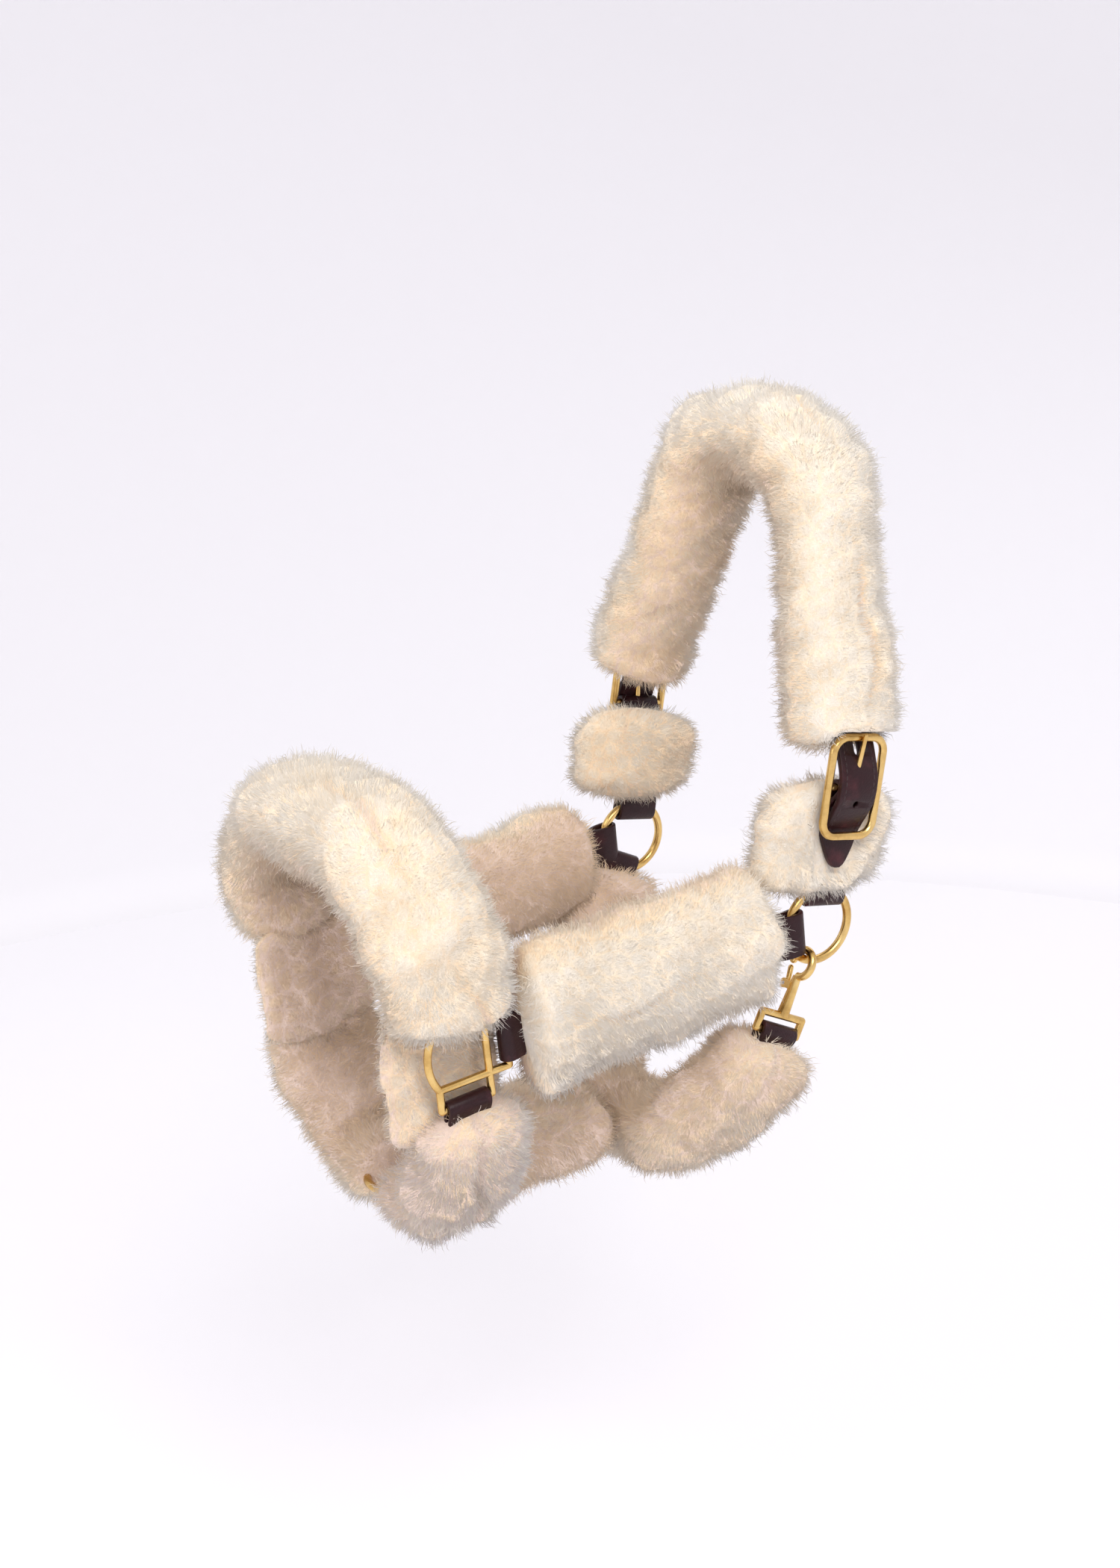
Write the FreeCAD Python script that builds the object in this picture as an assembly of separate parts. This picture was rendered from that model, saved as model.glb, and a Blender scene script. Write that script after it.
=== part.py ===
"""Sheepskin-sleeved leather headcollar (halter) for a horse, with brass fittings.

Frame: millimetres, +X towards the horse's nose, +Y towards its left (near) side, +Z up.
The origin is the poll seat, on the underside of the crown sleeve at the top of its arch.
Each strap and each sleeve lies in one flat plane, so its shape is drawn in that plane as
straight runs joined by tangent arcs. The far side mirrors the near side across Y = 0.
"""
import FreeCAD, Part
import math
import os

Vector = FreeCAD.Vector
X, Y, Z = Vector(1, 0, 0), Vector(0, 1, 0), Vector(0, 0, 1)

# Leather
STRAP_WIDTH = 26.0
STRAP_THICK = 5.0       # two plies stitched together
CROWN_THICK = 3.6       # single lined leather, thin enough for the buckles
PLY = 2.5               # one ply where a strap folds round a bar
FOLD_GAP = 0.4          # between a fold and the bar inside it
SLEEVE_GAP = 0.5        # between a strap and the channel of its sleeve
SKIVE_GAP = 0.4         # between two folds that crowd each other on one ring
BILLET_HOLE_R = 2.1
BILLET_HOLE_HEIGHTS = (75.0, 139.0)     # above the cheek ring's centre
BILLET_POINT = 17.0     # length of the billet's pointed end
BILLET_TIP_HALF = 3.0   # half the width left at the very tip

# Round fittings
RING_R = 21.5           # cheek ring, to the middle of its wire
CHIN_RING_R = 20.5
RING_WIRE_R = 2.5

# Crown buckles
BUCKLE_HALF_LENGTH = 28.5
BUCKLE_HALF_WIDTH = 18.0
BUCKLE_CORNER_R = 9.0
BUCKLE_WIRE_R = 2.4
CENTRE_BAR_R = 2.0
PRONG_BORE_R = 2.06
PRONG_KNUCKLE_R = 3.9
PRONG_KNUCKLE_WIDTH = 5.0
PRONG_R = (1.9, 1.25)   # at the centre bar and at the tip
PRONG_LEAN = 7.8        # degrees, from the centre bar to the outer face of the top bar
PRONG_LENGTH = 31.0
PRONG_HOLE_R = 2.5      # half the width of the billet's oblong hole
PRONG_SLOT = (-5.4, 2.3)    # centres of that hole's round ends, along the billet from the prong
CHAPE_SLOT_HALF = 3.1   # half the width of the slot that the prong's knuckle turns in
PLATE_HALF_WIDTH = 12.0     # the flatter part of the bottom bar
PLATE_HALF_HEIGHT = 3.6

# Noseband squares, to the middle of their wire
SQUARE_WIRE_R = 2.2
SQUARE_HALF_HEIGHT = 16.4
SQUARE_HALF_WIDTH = 15.5
SQUARE_BULGE = 5.0
SLOT_PITCH = 12.4

# Snap hook
SNAP_WIRE_R = 2.4
SNAP_LOOP_R = 7.9
SNAP_EYE_WIRE_R = 2.3
SNAP_EYE_HALF_WIDTH = 15.8
SNAP_EYE_HEIGHT = 10.0
SNAP_SHANK_R = (2.5, 3.7)   # at the hook and at the eye
GATE_PIN_R = 1.0
GATE_BORE_R = 1.05
GATE_BARREL_R = 2.5
GATE_BARREL_HALF_WIDTH = 1.0
GATE_LEVER_R = 1.6
GATE_EAR_R = 2.9
GATE_EARS_HALF_WIDTH = 3.4
GATE_ROOM = (3.3, 2.2)  # radius and half width of the space between the ears
SPRING_R = (1.15, 1.9)

# Lay-out of the whole headcollar
CROWN_LEAN = -8.5       # degrees, the crown leans back from the cheek rings
THROAT_RAKE = 25.0      # degrees, the throat lash hangs forward of straight down
RING_HALF_SPAN = 94.0
SQUARE_HALF_SPAN = 88.0
SQUARE_AHEAD = 234.0    # from the cheek rings to the noseband squares
SQUARE_DROP = 27.0
BUCKLE_HEIGHT = 84.0    # from a cheek ring's centre to its buckle's centre bar
BUCKLE_OUT = 106.0
CROWN_HEIGHT = 265.5    # from the cheek rings' centres to the middle of the crown's arch
CROWN_SLEEVE_DEPTH = 31.0
CROWN_SLEEVE_HALF_WIDTH = 36.0
CROWN_SLEEVE_AHEAD = 9.0    # the sleeve lies this far forward on its strap
CHIN_DEPTH = 110.0
THROAT_DEPTH = 153.0
SNAP_EYE_DROP = 66.5    # from the near ring's centre to the bar that the throat lash folds round


def tilted(degrees, sign=1.0):
    """Unit vector in the X-Z plane, tilted from +Z towards +X."""
    angle = math.radians(degrees)
    return Vector(math.sin(angle), 0, math.cos(angle)) * sign


def unit(vector):
    return vector * (1.0 / vector.Length)


class Plane:
    """A flat working plane: u and v lie in it, n is the strap's width direction."""

    def __init__(self, origin, u, v):
        self.origin, self.u, self.v = origin, unit(u), unit(v)
        self.n = self.u.cross(self.v)

    def place(self, shape):
        matrix = FreeCAD.Matrix(
            self.u.x, self.v.x, self.n.x, self.origin.x,
            self.u.y, self.v.y, self.n.y, self.origin.y,
            self.u.z, self.v.z, self.n.z, self.origin.z,
            0, 0, 0, 1)
        placed = shape.copy()
        placed.Placement = FreeCAD.Placement(matrix).multiply(shape.Placement)
        return placed

    def point(self, u, v, n=0.0):
        return self.origin + self.u * u + self.v * v + self.n * n


# The planes
CROWN_UP = tilted(CROWN_LEAN)
SEAT_DEPTH = CROWN_SLEEVE_DEPTH * math.sqrt(1 - (CROWN_SLEEVE_AHEAD / CROWN_SLEEVE_HALF_WIDTH) ** 2)
RING_MID = CROWN_UP * -(CROWN_HEIGHT - SEAT_DEPTH)
SQUARE_MID = RING_MID + Vector(SQUARE_AHEAD, 0, -SQUARE_DROP)
FORWARD = unit(SQUARE_MID - RING_MID)
NOSE_UP = FORWARD.cross(Y)
THROAT_DOWN = tilted(-THROAT_RAKE, -1.0)

crown_plane = Plane(RING_MID, Y, CROWN_UP)
nose_plane = Plane(SQUARE_MID, Y, NOSE_UP)
throat_plane = Plane(RING_MID, Y, THROAT_DOWN)


def rounded_path(points, radii):
    """Straight runs joined by tangent arcs, one radius for each inner point."""
    points = [Vector(x, y, 0) for x, y in points]
    segments = []
    start = points[0]
    for before, corner, after, radius in zip(points, points[1:], points[2:], radii):
        back = unit(before - corner)
        ahead = unit(after - corner)
        half_angle = back.getAngle(ahead) / 2
        reach = radius / math.tan(half_angle)
        bisector = unit(back + ahead)
        centre = corner + bisector * (radius / math.sin(half_angle))
        arc_start = corner + back * reach
        arc_end = corner + ahead * reach
        segments.append((start, arc_start))
        segments.append((arc_start, centre - bisector * radius, arc_end, centre))
        start = arc_end
    segments.append((start, points[-1]))
    return segments


def left_of(direction):
    return Vector(-direction.y, direction.x, 0)


def offset_edges(segments, distance):
    """The path's edges moved sideways, to the left for a positive distance."""
    edges = []
    for segment in segments:
        if len(segment) == 2:
            start, end = segment
            side = left_of(unit(end - start)) * distance
            edges.append(Part.LineSegment(start + side, end + side))
            continue
        start, middle, end, centre = segment
        turns_left = (start - middle).cross(end - middle).z < 0
        radius = (start - centre).Length
        factor = (radius - distance if turns_left else radius + distance) / radius
        moved = [centre + (point - centre) * factor for point in (start, middle, end)]
        edges.append(Part.Arc(*moved))
    return edges


def ribbon(segments, thickness, width):
    """A strap's flat run: constant thickness along the path, width along the plane's normal."""
    left = offset_edges(segments, thickness / 2)
    right = offset_edges(segments, -thickness / 2)
    caps = [Part.LineSegment(left[-1].EndPoint, right[-1].EndPoint),
            Part.LineSegment(left[0].StartPoint, right[0].StartPoint)]
    edges = [curve.toShape() for curve in left + right + caps]
    face = Part.Face(Part.Wire(Part.__sortEdges__(edges)))
    face.translate(Z * (-width / 2))
    return face.extrude(Z * width)


def swept_ellipse(segments, half_width, half_thick):
    """A tube of elliptical section: half_width along the plane's normal."""
    solids = []
    for segment in segments:
        start, end = segment[0], segment[1] if len(segment) == 2 else segment[2]
        if len(segment) == 2:
            tangent = unit(end - start)
        else:
            radial = unit(start - segment[3])
            tangent = left_of(radial)
        side = left_of(tangent)
        if half_width > half_thick:
            curve = Part.Ellipse(start + Z * half_width, start + side * half_thick, start)
        else:
            curve = Part.Circle(start, tangent, half_thick)
        face = Part.Face(Part.Wire([curve.toShape()]))
        if len(segment) == 2:
            solids.append(face.extrude(end - start))
            continue
        centre = segment[3]
        turn = math.degrees((start - centre).getAngle(end - centre))
        if (start - centre).cross(end - centre).z < 0:
            turn = -turn
        solids.append(face.revolve(centre, Z, turn))
    return fuse(solids)


def fuse(solids):
    if len(solids) == 1:
        return solids[0]
    return solids[0].multiFuse(solids[1:]).removeSplitter()


def cut(shape, *tools):
    """Cut the tools away and keep the largest solid, without crumbs."""
    for tool in tools:
        shape = shape.cut(tool)
    return max(shape.Solids, key=lambda solid: solid.Volume)


def box(u_range, v_range, n_range):
    """A block in a plane's own coordinates."""
    return Part.makeBox(u_range[1] - u_range[0], v_range[1] - v_range[0], n_range[1] - n_range[0],
                        Vector(u_range[0], v_range[0], n_range[0]))


def rod(start, end, radius):
    """A round bar between two points given as (u, v, n)."""
    start, end = Vector(*start), Vector(*end)
    return Part.makeCylinder(radius, (end - start).Length, start, end - start)


def ball(centre, radius):
    return Part.makeSphere(radius, Vector(*centre))


def mirrored(shape):
    """The same piece on the far side."""
    return shape.mirror(Vector(0, 0, 0), Y)


class Fold:
    """Where a strap is folded round a bar or a ring and stitched back on itself."""

    def __init__(self, bar_radius, ring_radius=None, reach=12.0):
        self.hole_half = bar_radius + FOLD_GAP
        self.hole_length = 0.0
        if ring_radius:
            edge_reach = math.sqrt(ring_radius ** 2 - (STRAP_WIDTH / 2) ** 2)
            slanted_wire = bar_radius * (ring_radius / edge_reach - 1)
            self.hole_length = ring_radius - edge_reach + 1.5 * slanted_wire
        self.reach = reach

    def outline(self, bar, along, thickness, grow=0.0):
        """The folded end as a face. bar is where the strap pulls, along points into the strap."""
        outer = self.hole_half + PLY + grow
        side = left_of(along)
        far = bar - along * self.hole_length
        root = bar + along * self.reach
        corners = [root + side * (thickness / 2 + grow), bar + side * outer]
        if self.hole_length:
            corners.append(far + side * outer)
        opposite = [root - side * (thickness / 2 + grow), bar - side * outer]
        if self.hole_length:
            opposite.append(far - side * outer)
        edges = [Part.LineSegment(a, b).toShape() for a, b in zip(corners, corners[1:])]
        edges += [Part.LineSegment(a, b).toShape() for a, b in zip(opposite, opposite[1:])]
        edges.append(Part.LineSegment(corners[0], opposite[0]).toShape())
        edges.append(Part.Arc(corners[-1], far - along * outer, opposite[-1]).toShape())
        return Part.Face(Part.Wire(Part.__sortEdges__(edges)))

    def hole(self, bar, along):
        """The space that the bar or ring passes through."""
        depth = Z * (2 * STRAP_WIDTH)
        low = bar - Z * STRAP_WIDTH
        solid = Part.makeCylinder(self.hole_half, depth.Length, low, Z)
        if not self.hole_length:
            return solid
        far = low - along * self.hole_length
        side = left_of(along) * self.hole_half
        middle = Part.Face(Part.makePolygon([low + side, low - side, far - side, far + side, low + side]))
        return fuse([solid, Part.makeCylinder(self.hole_half, depth.Length, far, Z), middle.extrude(depth)])


def strap(points, radii, start_fold=None, end_fold=None, thickness=STRAP_THICK, grow=0.0):
    """A strap in its own plane. With grow it is the room that a sleeve leaves round it."""
    points = [Vector(x, y, 0) for x, y in points]
    width = STRAP_WIDTH + 2 * grow
    ends = []
    inner = list(points)
    for index, neighbour, fold in ((0, 1, start_fold), (-1, -2, end_fold)):
        if fold is None:
            continue
        bar = points[index]
        along = unit(points[neighbour] - bar)
        ends.append((fold, bar, along))
        inner[index] = bar + along * (fold.reach - 1.0)
    path = rounded_path([(p.x, p.y) for p in inner], radii)
    solids = [ribbon(path, thickness + 2 * grow, width)]
    for fold, bar, along in ends:
        face = fold.outline(bar, along, thickness, grow)
        face.translate(Z * (-width / 2))
        solids.append(face.extrude(Z * width))
    shape = fuse(solids)
    if grow:
        return shape
    return cut(shape, *[fold.hole(bar, along) for fold, bar, along in ends])


def torus(ring_radius, wire_radius, axis):
    return Part.makeTorus(ring_radius, wire_radius, Vector(0, 0, 0), axis)


# Routes in their planes, as (u, v) points with one radius for each inner point
BAR_TO_PLY = CENTRE_BAR_R + FOLD_GAP + PLY
BILLET_BEND_R = 28.0
BILLET_IN = BUCKLE_OUT - 7.1        # where the billet passes inside the top and bottom bars
billet_crest = BUCKLE_OUT + BAR_TO_PLY + 0.4 + CROWN_THICK / 2
billet_corner = billet_crest
for _ in range(20):
    billet_slope = math.atan2(billet_corner - BILLET_IN, BUCKLE_HALF_LENGTH)
    billet_corner = billet_crest + BILLET_BEND_R * (1 / math.cos(billet_slope) - 1)
buckle_low = BUCKLE_HEIGHT - BUCKLE_HALF_LENGTH
buckle_high = BUCKLE_HEIGHT + BUCKLE_HALF_LENGTH
ARCH_HALF = 47.0
ARCH_R = 46.0
TAIL_TIP = (101.5, 36.0)
billet_route = [TAIL_TIP, (BILLET_IN, buckle_low), (billet_corner, BUCKLE_HEIGHT),
                (BILLET_IN, buckle_high), (ARCH_HALF, CROWN_HEIGHT)]
billet_radii = [12.0, BILLET_BEND_R, 20.0]
crown_route = billet_route + [(-u, v) for u, v in reversed(billet_route)]
crown_radii = billet_radii + [ARCH_R, ARCH_R] + billet_radii[::-1]

CHAPE_BEND = (RING_HALF_SPAN, 62.0)
upper_cheek_route = [(RING_HALF_SPAN, RING_R), CHAPE_BEND, (BUCKLE_OUT, BUCKLE_HEIGHT)]
upper_cheek_radii = [25.0]

slot_bar = SQUARE_HALF_HEIGHT + SLOT_PITCH
NOSE_SHOULDER = (86.5, 67.0)
NOSE_CREST = (53.0, 111.0)
nose_side = [(SQUARE_HALF_SPAN, slot_bar), NOSE_SHOULDER, NOSE_CREST]
nose_route = nose_side + [(-u, v) for u, v in reversed(nose_side)]
nose_radii = [42.0, 42.0, 42.0, 42.0]

chin_route = [(SQUARE_HALF_SPAN, -slot_bar), (83.5, -58.0), (46.0, -CHIN_DEPTH), (CHIN_RING_R, -CHIN_DEPTH)]
chin_radii = [40.0, 32.0]

throat_route = [(-RING_HALF_SPAN, RING_R), (-93.0, 45.0), (-44.0, THROAT_DEPTH), (40.0, THROAT_DEPTH),
                (88.0, 92.0), (RING_HALF_SPAN, SNAP_EYE_DROP)]
throat_radii = [50.0, 45.0, 45.0, 40.0]

ring_fold = Fold(RING_WIRE_R, RING_R)
chin_ring_fold = Fold(RING_WIRE_R, CHIN_RING_R, reach=8.0)
bar_fold = Fold(SQUARE_WIRE_R)
buckle_fold = Fold(CENTRE_BAR_R)
snap_fold = Fold(SNAP_EYE_WIRE_R)

# The cheek strap runs from the ring's wire to the rear bar of the square
near_ring = RING_MID + Y * RING_HALF_SPAN
near_square = SQUARE_MID + Y * SQUARE_HALF_SPAN
cheek_start = near_ring + FORWARD * RING_R
cheek_end = near_square - FORWARD * (SQUARE_HALF_WIDTH + SLOT_PITCH)
cheek_along = unit(cheek_end - cheek_start)
cheek_plane = Plane(cheek_start, cheek_along, NOSE_UP.cross(cheek_along))
cheek_route = [(0.0, 0.0), ((cheek_end - cheek_start).Length, 0.0)]

# The gullet strap runs back from the chin ring and folds round the throat lash
chin_centre = nose_plane.point(0, -CHIN_DEPTH)
throat_bottom = throat_plane.point(0, THROAT_DEPTH)
gullet_plane = Plane(chin_centre, FORWARD * -1, NOSE_UP)
LASH_LOOP_HALF = STRAP_WIDTH / 2 + 0.4
LASH_LOOP_THICK = STRAP_THICK + 0.8


def gullet_points():
    """Chin ring, bend and throat lash, so that the strap meets the lash square on."""
    to_lash = throat_bottom - chin_centre
    lash = Vector(to_lash.dot(gullet_plane.u), to_lash.dot(gullet_plane.v), 0)
    arrival = throat_plane.n
    slope = Vector(arrival.dot(gullet_plane.u), arrival.dot(gullet_plane.v), 0)
    back_to_level = lash.y / slope.y
    return [(CHIN_RING_R, 0.0), (lash.x - slope.x * back_to_level, 0.0), (lash.x, lash.y)]


gullet_route = gullet_points()
GULLET_BEND_R = 30.0


def crown_strap():
    """One strap over the poll with a punched, pointed billet at each end."""
    shape = strap(crown_route, crown_radii, thickness=CROWN_THICK)
    lean = math.tan(math.radians(PRONG_LEAN))
    slope = math.tan(billet_slope)
    rise = (slope * BUCKLE_HALF_LENGTH + BILLET_IN - BUCKLE_OUT) / (lean + slope)
    prong_hole = (BUCKLE_OUT + lean * rise, BUCKLE_HEIGHT + rise)
    slant = math.degrees(billet_slope)
    tools = []
    for side in (1, -1):
        low, high = PRONG_SLOT
        slot = fuse([Part.makeCylinder(PRONG_HOLE_R, 20, Vector(0, along, -10)) for along in PRONG_SLOT]
                    + [box((-PRONG_HOLE_R, PRONG_HOLE_R), (low, high), (-10, 10))])
        slot.rotate(Vector(0, 0, 0), Y, 90)
        slot.rotate(Vector(0, 0, 0), Z, slant)
        slot.translate(Vector(*prong_hole, 0))
        inside, outside = BUCKLE_OUT - 16.0, BUCKLE_OUT + 19.0
        round_holes = [rod((inside, height, 0), (outside, height, 0), BILLET_HOLE_R)
                       for height in BILLET_HOLE_HEIGHTS]
        point_cuts = []
        for edge in (1, -1):
            tip = TAIL_TIP[1] - 1.0
            corners = [Vector(inside, tip, edge * BILLET_TIP_HALF), Vector(inside, tip, edge * STRAP_WIDTH),
                       Vector(inside, tip + BILLET_POINT, edge * (STRAP_WIDTH / 2 + 0.1))]
            point_cuts.append(Part.Face(Part.makePolygon(corners + corners[:1])).extrude(X * 25))
        for tool in [slot] + round_holes + point_cuts:
            tools.append(tool if side > 0 else tool.mirror(Vector(0, 0, 0), X))
    return crown_plane.place(cut(shape, *tools))


def upper_cheek_strap():
    """Short strap from the cheek ring up to the buckle, slotted for the prong."""
    shape = strap(upper_cheek_route, upper_cheek_radii, ring_fold, buckle_fold)
    slot = box((BUCKLE_OUT - 7.5, BUCKLE_OUT + 6.0), (BUCKLE_HEIGHT - 4.6, BUCKLE_HEIGHT + 8),
               (-CHAPE_SLOT_HALF, CHAPE_SLOT_HALF))
    return crown_plane.place(cut(shape, slot))


def gullet_strap():
    """Strap under the jaw. Its rear end is a flat loop that holds the throat lash."""
    lash_end = Vector(*gullet_route[-1], 0)
    bend = Vector(*gullet_route[1], 0)
    shape = strap(gullet_route, [GULLET_BEND_R], chin_ring_fold)
    slope = math.degrees(math.atan2(lash_end.y - bend.y, lash_end.x - bend.x))
    loop = lash_loop(0.0)
    hole = box((-LASH_LOOP_HALF, LASH_LOOP_HALF), (-LASH_LOOP_THICK / 2, LASH_LOOP_THICK / 2),
               (-STRAP_WIDTH, STRAP_WIDTH))
    for solid in (loop, hole):
        solid.rotate(Vector(0, 0, 0), Z, slope)
        solid.translate(lash_end)
    whole = gullet_plane.place(cut(fuse([shape, loop]), hole))
    chin_room = nose_plane.place(strap(chin_route, chin_radii, bar_fold, chin_ring_fold, grow=SKIVE_GAP))
    return cut(whole, chin_room, mirrored(chin_room))


def lash_loop(grow):
    """The flat loop that holds the throat lash, before its hole is cut."""
    half_length = LASH_LOOP_HALF + PLY + grow
    half_thick = LASH_LOOP_THICK / 2 + PLY + grow
    half_width = STRAP_WIDTH / 2 + grow
    solid = box((-half_length, half_length), (-half_thick, half_thick), (-half_width, half_width))
    long_edges = [edge for edge in solid.Edges if abs(edge.Vertexes[0].Z - edge.Vertexes[1].Z) > 1]
    return solid.makeFillet(2.4, long_edges)


def gullet_room():
    """The gullet strap with clearance, for cutting the sleeves round it."""
    lash_end = Vector(*gullet_route[-1], 0)
    bend = Vector(*gullet_route[1], 0)
    body = strap(gullet_route, [GULLET_BEND_R], chin_ring_fold, grow=SLEEVE_GAP)
    loop = lash_loop(SLEEVE_GAP)
    loop.rotate(Vector(0, 0, 0), Z, math.degrees(math.atan2(lash_end.y - bend.y, lash_end.x - bend.x)))
    loop.translate(lash_end)
    return gullet_plane.place(fuse([body, loop]))


def throat_strap():
    """Throat lash, folded round the far cheek ring and round the eye of the snap hook."""
    whole = throat_plane.place(strap(throat_route, throat_radii, ring_fold, snap_fold))
    cheek_room = cheek_plane.place(strap(cheek_route, [], ring_fold, bar_fold, grow=SKIVE_GAP))
    return cut(whole, mirrored(cheek_room))


def buckle_frame():
    """Rounded oblong loop with a centre bar and a flatter, broader bottom bar."""
    half_l, half_w = BUCKLE_HALF_LENGTH, BUCKLE_HALF_WIDTH
    corners = [(half_w, 0), (half_w, half_l), (-half_w, half_l), (-half_w, -half_l), (half_w, -half_l),
               (half_w, 0)]
    loop = swept_ellipse(rounded_path(corners, [BUCKLE_CORNER_R] * 4), BUCKLE_WIRE_R, BUCKLE_WIRE_R)
    bar = Part.makeCylinder(CENTRE_BAR_R, 2 * half_w, Vector(-half_w, 0, 0), X)
    low_y = -half_l
    plate_end = Vector(-PLATE_HALF_WIDTH, low_y, 0)
    oval = Part.Ellipse(plate_end - Y * PLATE_HALF_HEIGHT, plate_end + Z * BUCKLE_WIRE_R, plate_end)
    plate = Part.Face(Part.Wire([oval.toShape()])).extrude(X * (2 * PLATE_HALF_WIDTH))
    shape = fuse([loop, bar, plate])
    upright = Plane(crown_plane.point(BUCKLE_OUT, BUCKLE_HEIGHT), crown_plane.n * -1, crown_plane.v)
    return upright.place(cut(shape))


def buckle_prong():
    """Tongue that turns on the centre bar and rests on the outer face of the top bar."""
    knuckle_start = Z * (-PRONG_KNUCKLE_WIDTH / 2)
    knuckle = Part.makeCylinder(PRONG_KNUCKLE_R, PRONG_KNUCKLE_WIDTH, knuckle_start, Z)
    lean = math.radians(PRONG_LEAN)
    along = Vector(math.sin(lean), math.cos(lean), 0)
    tongue = Part.makeCone(*PRONG_R, PRONG_LENGTH, Vector(0, 0, 0), along)
    tip = Part.makeSphere(PRONG_R[1], along * PRONG_LENGTH)
    bore = Part.makeCylinder(PRONG_BORE_R, PRONG_KNUCKLE_WIDTH, knuckle_start, Z)
    shape = cut(fuse([knuckle, tongue, tip]), bore)
    shape.translate(Vector(BUCKLE_OUT, BUCKLE_HEIGHT, 0))
    return crown_plane.place(shape)


def noseband_square():
    """Cast fitting: a window with one bulging side, and a slot above, below and behind it."""
    w, h, r = SQUARE_HALF_WIDTH, SQUARE_HALF_HEIGHT, SQUARE_WIRE_R
    rear = -(w + SLOT_PITCH)
    bars = [((-w, -slot_bar), (-w, slot_bar)), ((rear, h), (w, h)), ((rear, -h), (w, -h)),
            ((rear, -h), (rear, h))]
    for level in (1, -1):
        bars.append(((w, level * h), (w, level * slot_bar)))
        bars.append(((w, level * slot_bar), (-w, level * slot_bar)))
    solids = [rod((*a, 0), (*b, 0), r) for a, b in bars]
    corners = {end for bar in bars for end in bar}
    solids += [ball((*corner, 0), r) for corner in sorted(corners)]
    front = Part.Arc(Vector(w, h, 0), Vector(w + SQUARE_BULGE, 0, 0), Vector(w, -h, 0))
    circle = Part.Circle(Vector(w, h, 0), front.tangent(front.FirstParameter)[0], r)
    section = Part.Face(Part.Wire([circle.toShape()]))
    arc = front.toShape()
    centre = arc.Curve.Center
    turn = -2 * math.degrees((Vector(w, h, 0) - centre).getAngle(Vector(w + SQUARE_BULGE, 0, 0) - centre))
    solids.append(section.revolve(centre, Z, turn))
    upright = Plane(near_square, FORWARD, NOSE_UP)
    return upright.place(cut(fuse(solids)))


def snap_hook():
    """Hook, shank, gate ears and strap eye, cast in one piece."""
    rest_gap = 0.3
    centre = Vector(RING_HALF_SPAN, RING_R - RING_WIRE_R - rest_gap + SNAP_LOOP_R - SNAP_WIRE_R, 0)
    section = Part.Face(Part.Wire([Part.Circle(centre + Y * SNAP_LOOP_R, X, SNAP_WIRE_R).toShape()]))
    hook = section.revolve(centre, Z, -270)
    tip = Part.makeSphere(SNAP_WIRE_R, centre - X * SNAP_LOOP_R)
    shank_top = centre + Y * SNAP_LOOP_R
    eye_top = SNAP_EYE_DROP - SNAP_EYE_HEIGHT
    shank = Part.makeCone(*SNAP_SHANK_R, eye_top - shank_top.y, shank_top, Y)
    pivot = gate_pivot()
    wide = GATE_EARS_HALF_WIDTH
    room_r, room_half = GATE_ROOM
    ears = fuse([Part.makeCylinder(GATE_EAR_R, 2 * wide, pivot - Z * wide, Z),
                 box((pivot.x, RING_HALF_SPAN), (pivot.y - 2.2, pivot.y + 2.2), (-wide, wide))])
    solids = [hook, tip, shank, ears]
    half = SNAP_EYE_HALF_WIDTH
    corners = [(RING_HALF_SPAN, v, n) for v, n in ((eye_top, -half), (eye_top, half), (SNAP_EYE_DROP, half),
                                                   (SNAP_EYE_DROP, -half))]
    for a, b in zip(corners, corners[1:] + corners[:1]):
        solids.append(rod(a, b, SNAP_EYE_WIRE_R))
        solids.append(ball(a, SNAP_EYE_WIRE_R))
    gate_room = Part.makeCylinder(room_r, 2 * room_half, pivot - Z * room_half, Z)
    pin_hole = Part.makeCylinder(GATE_PIN_R, 4 * wide, pivot - Z * 2 * wide, Z)
    return throat_plane.place(cut(fuse(solids), gate_room, pin_hole))


def gate_pivot():
    """Middle of the gate's pin, inside the shank."""
    return Vector(RING_HALF_SPAN - 5.6, RING_R + 17.0, 0)


def snap_gate():
    """Sprung lever that closes the hook's mouth from inside."""
    pivot = gate_pivot()
    end = Vector(RING_HALF_SPAN - SNAP_LOOP_R + 0.2, pivot.y - 9.4, 0)
    half = GATE_BARREL_HALF_WIDTH
    barrel = Part.makeCylinder(GATE_BARREL_R, 2 * half, pivot - Z * half, Z)
    lever = Part.makeCylinder(GATE_LEVER_R, (end - pivot).Length, pivot, end - pivot)
    shape = fuse([barrel, lever, Part.makeSphere(GATE_LEVER_R, end)])
    beside_u = (pivot.x - 4.0, pivot.x + 4.0)
    beside_v = (pivot.y - 3.6, pivot.y + 4.4)
    sides = fuse([box(beside_u, beside_v, span) for span in ((half, half + 4), (-half - 4, -half))])
    bore = Part.makeCylinder(GATE_BORE_R, 8, pivot - Z * 4, Z)
    return throat_plane.place(cut(shape, sides, bore))


def snap_gate_pin():
    wide = GATE_EARS_HALF_WIDTH
    return throat_plane.place(Part.makeCylinder(GATE_PIN_R, 2 * wide, gate_pivot() - Z * wide, Z))


def snap_gate_spring():
    """Torsion spring on the gate's pin, as its closed-wound coil."""
    low = gate_pivot() + Z * (GATE_BARREL_HALF_WIDTH + 0.1)
    inner, outer = SPRING_R
    coil = cut(Part.makeCylinder(outer, 1.0, low, Z), Part.makeCylinder(inner, 1.0, low, Z))
    return throat_plane.place(coil)


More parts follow.
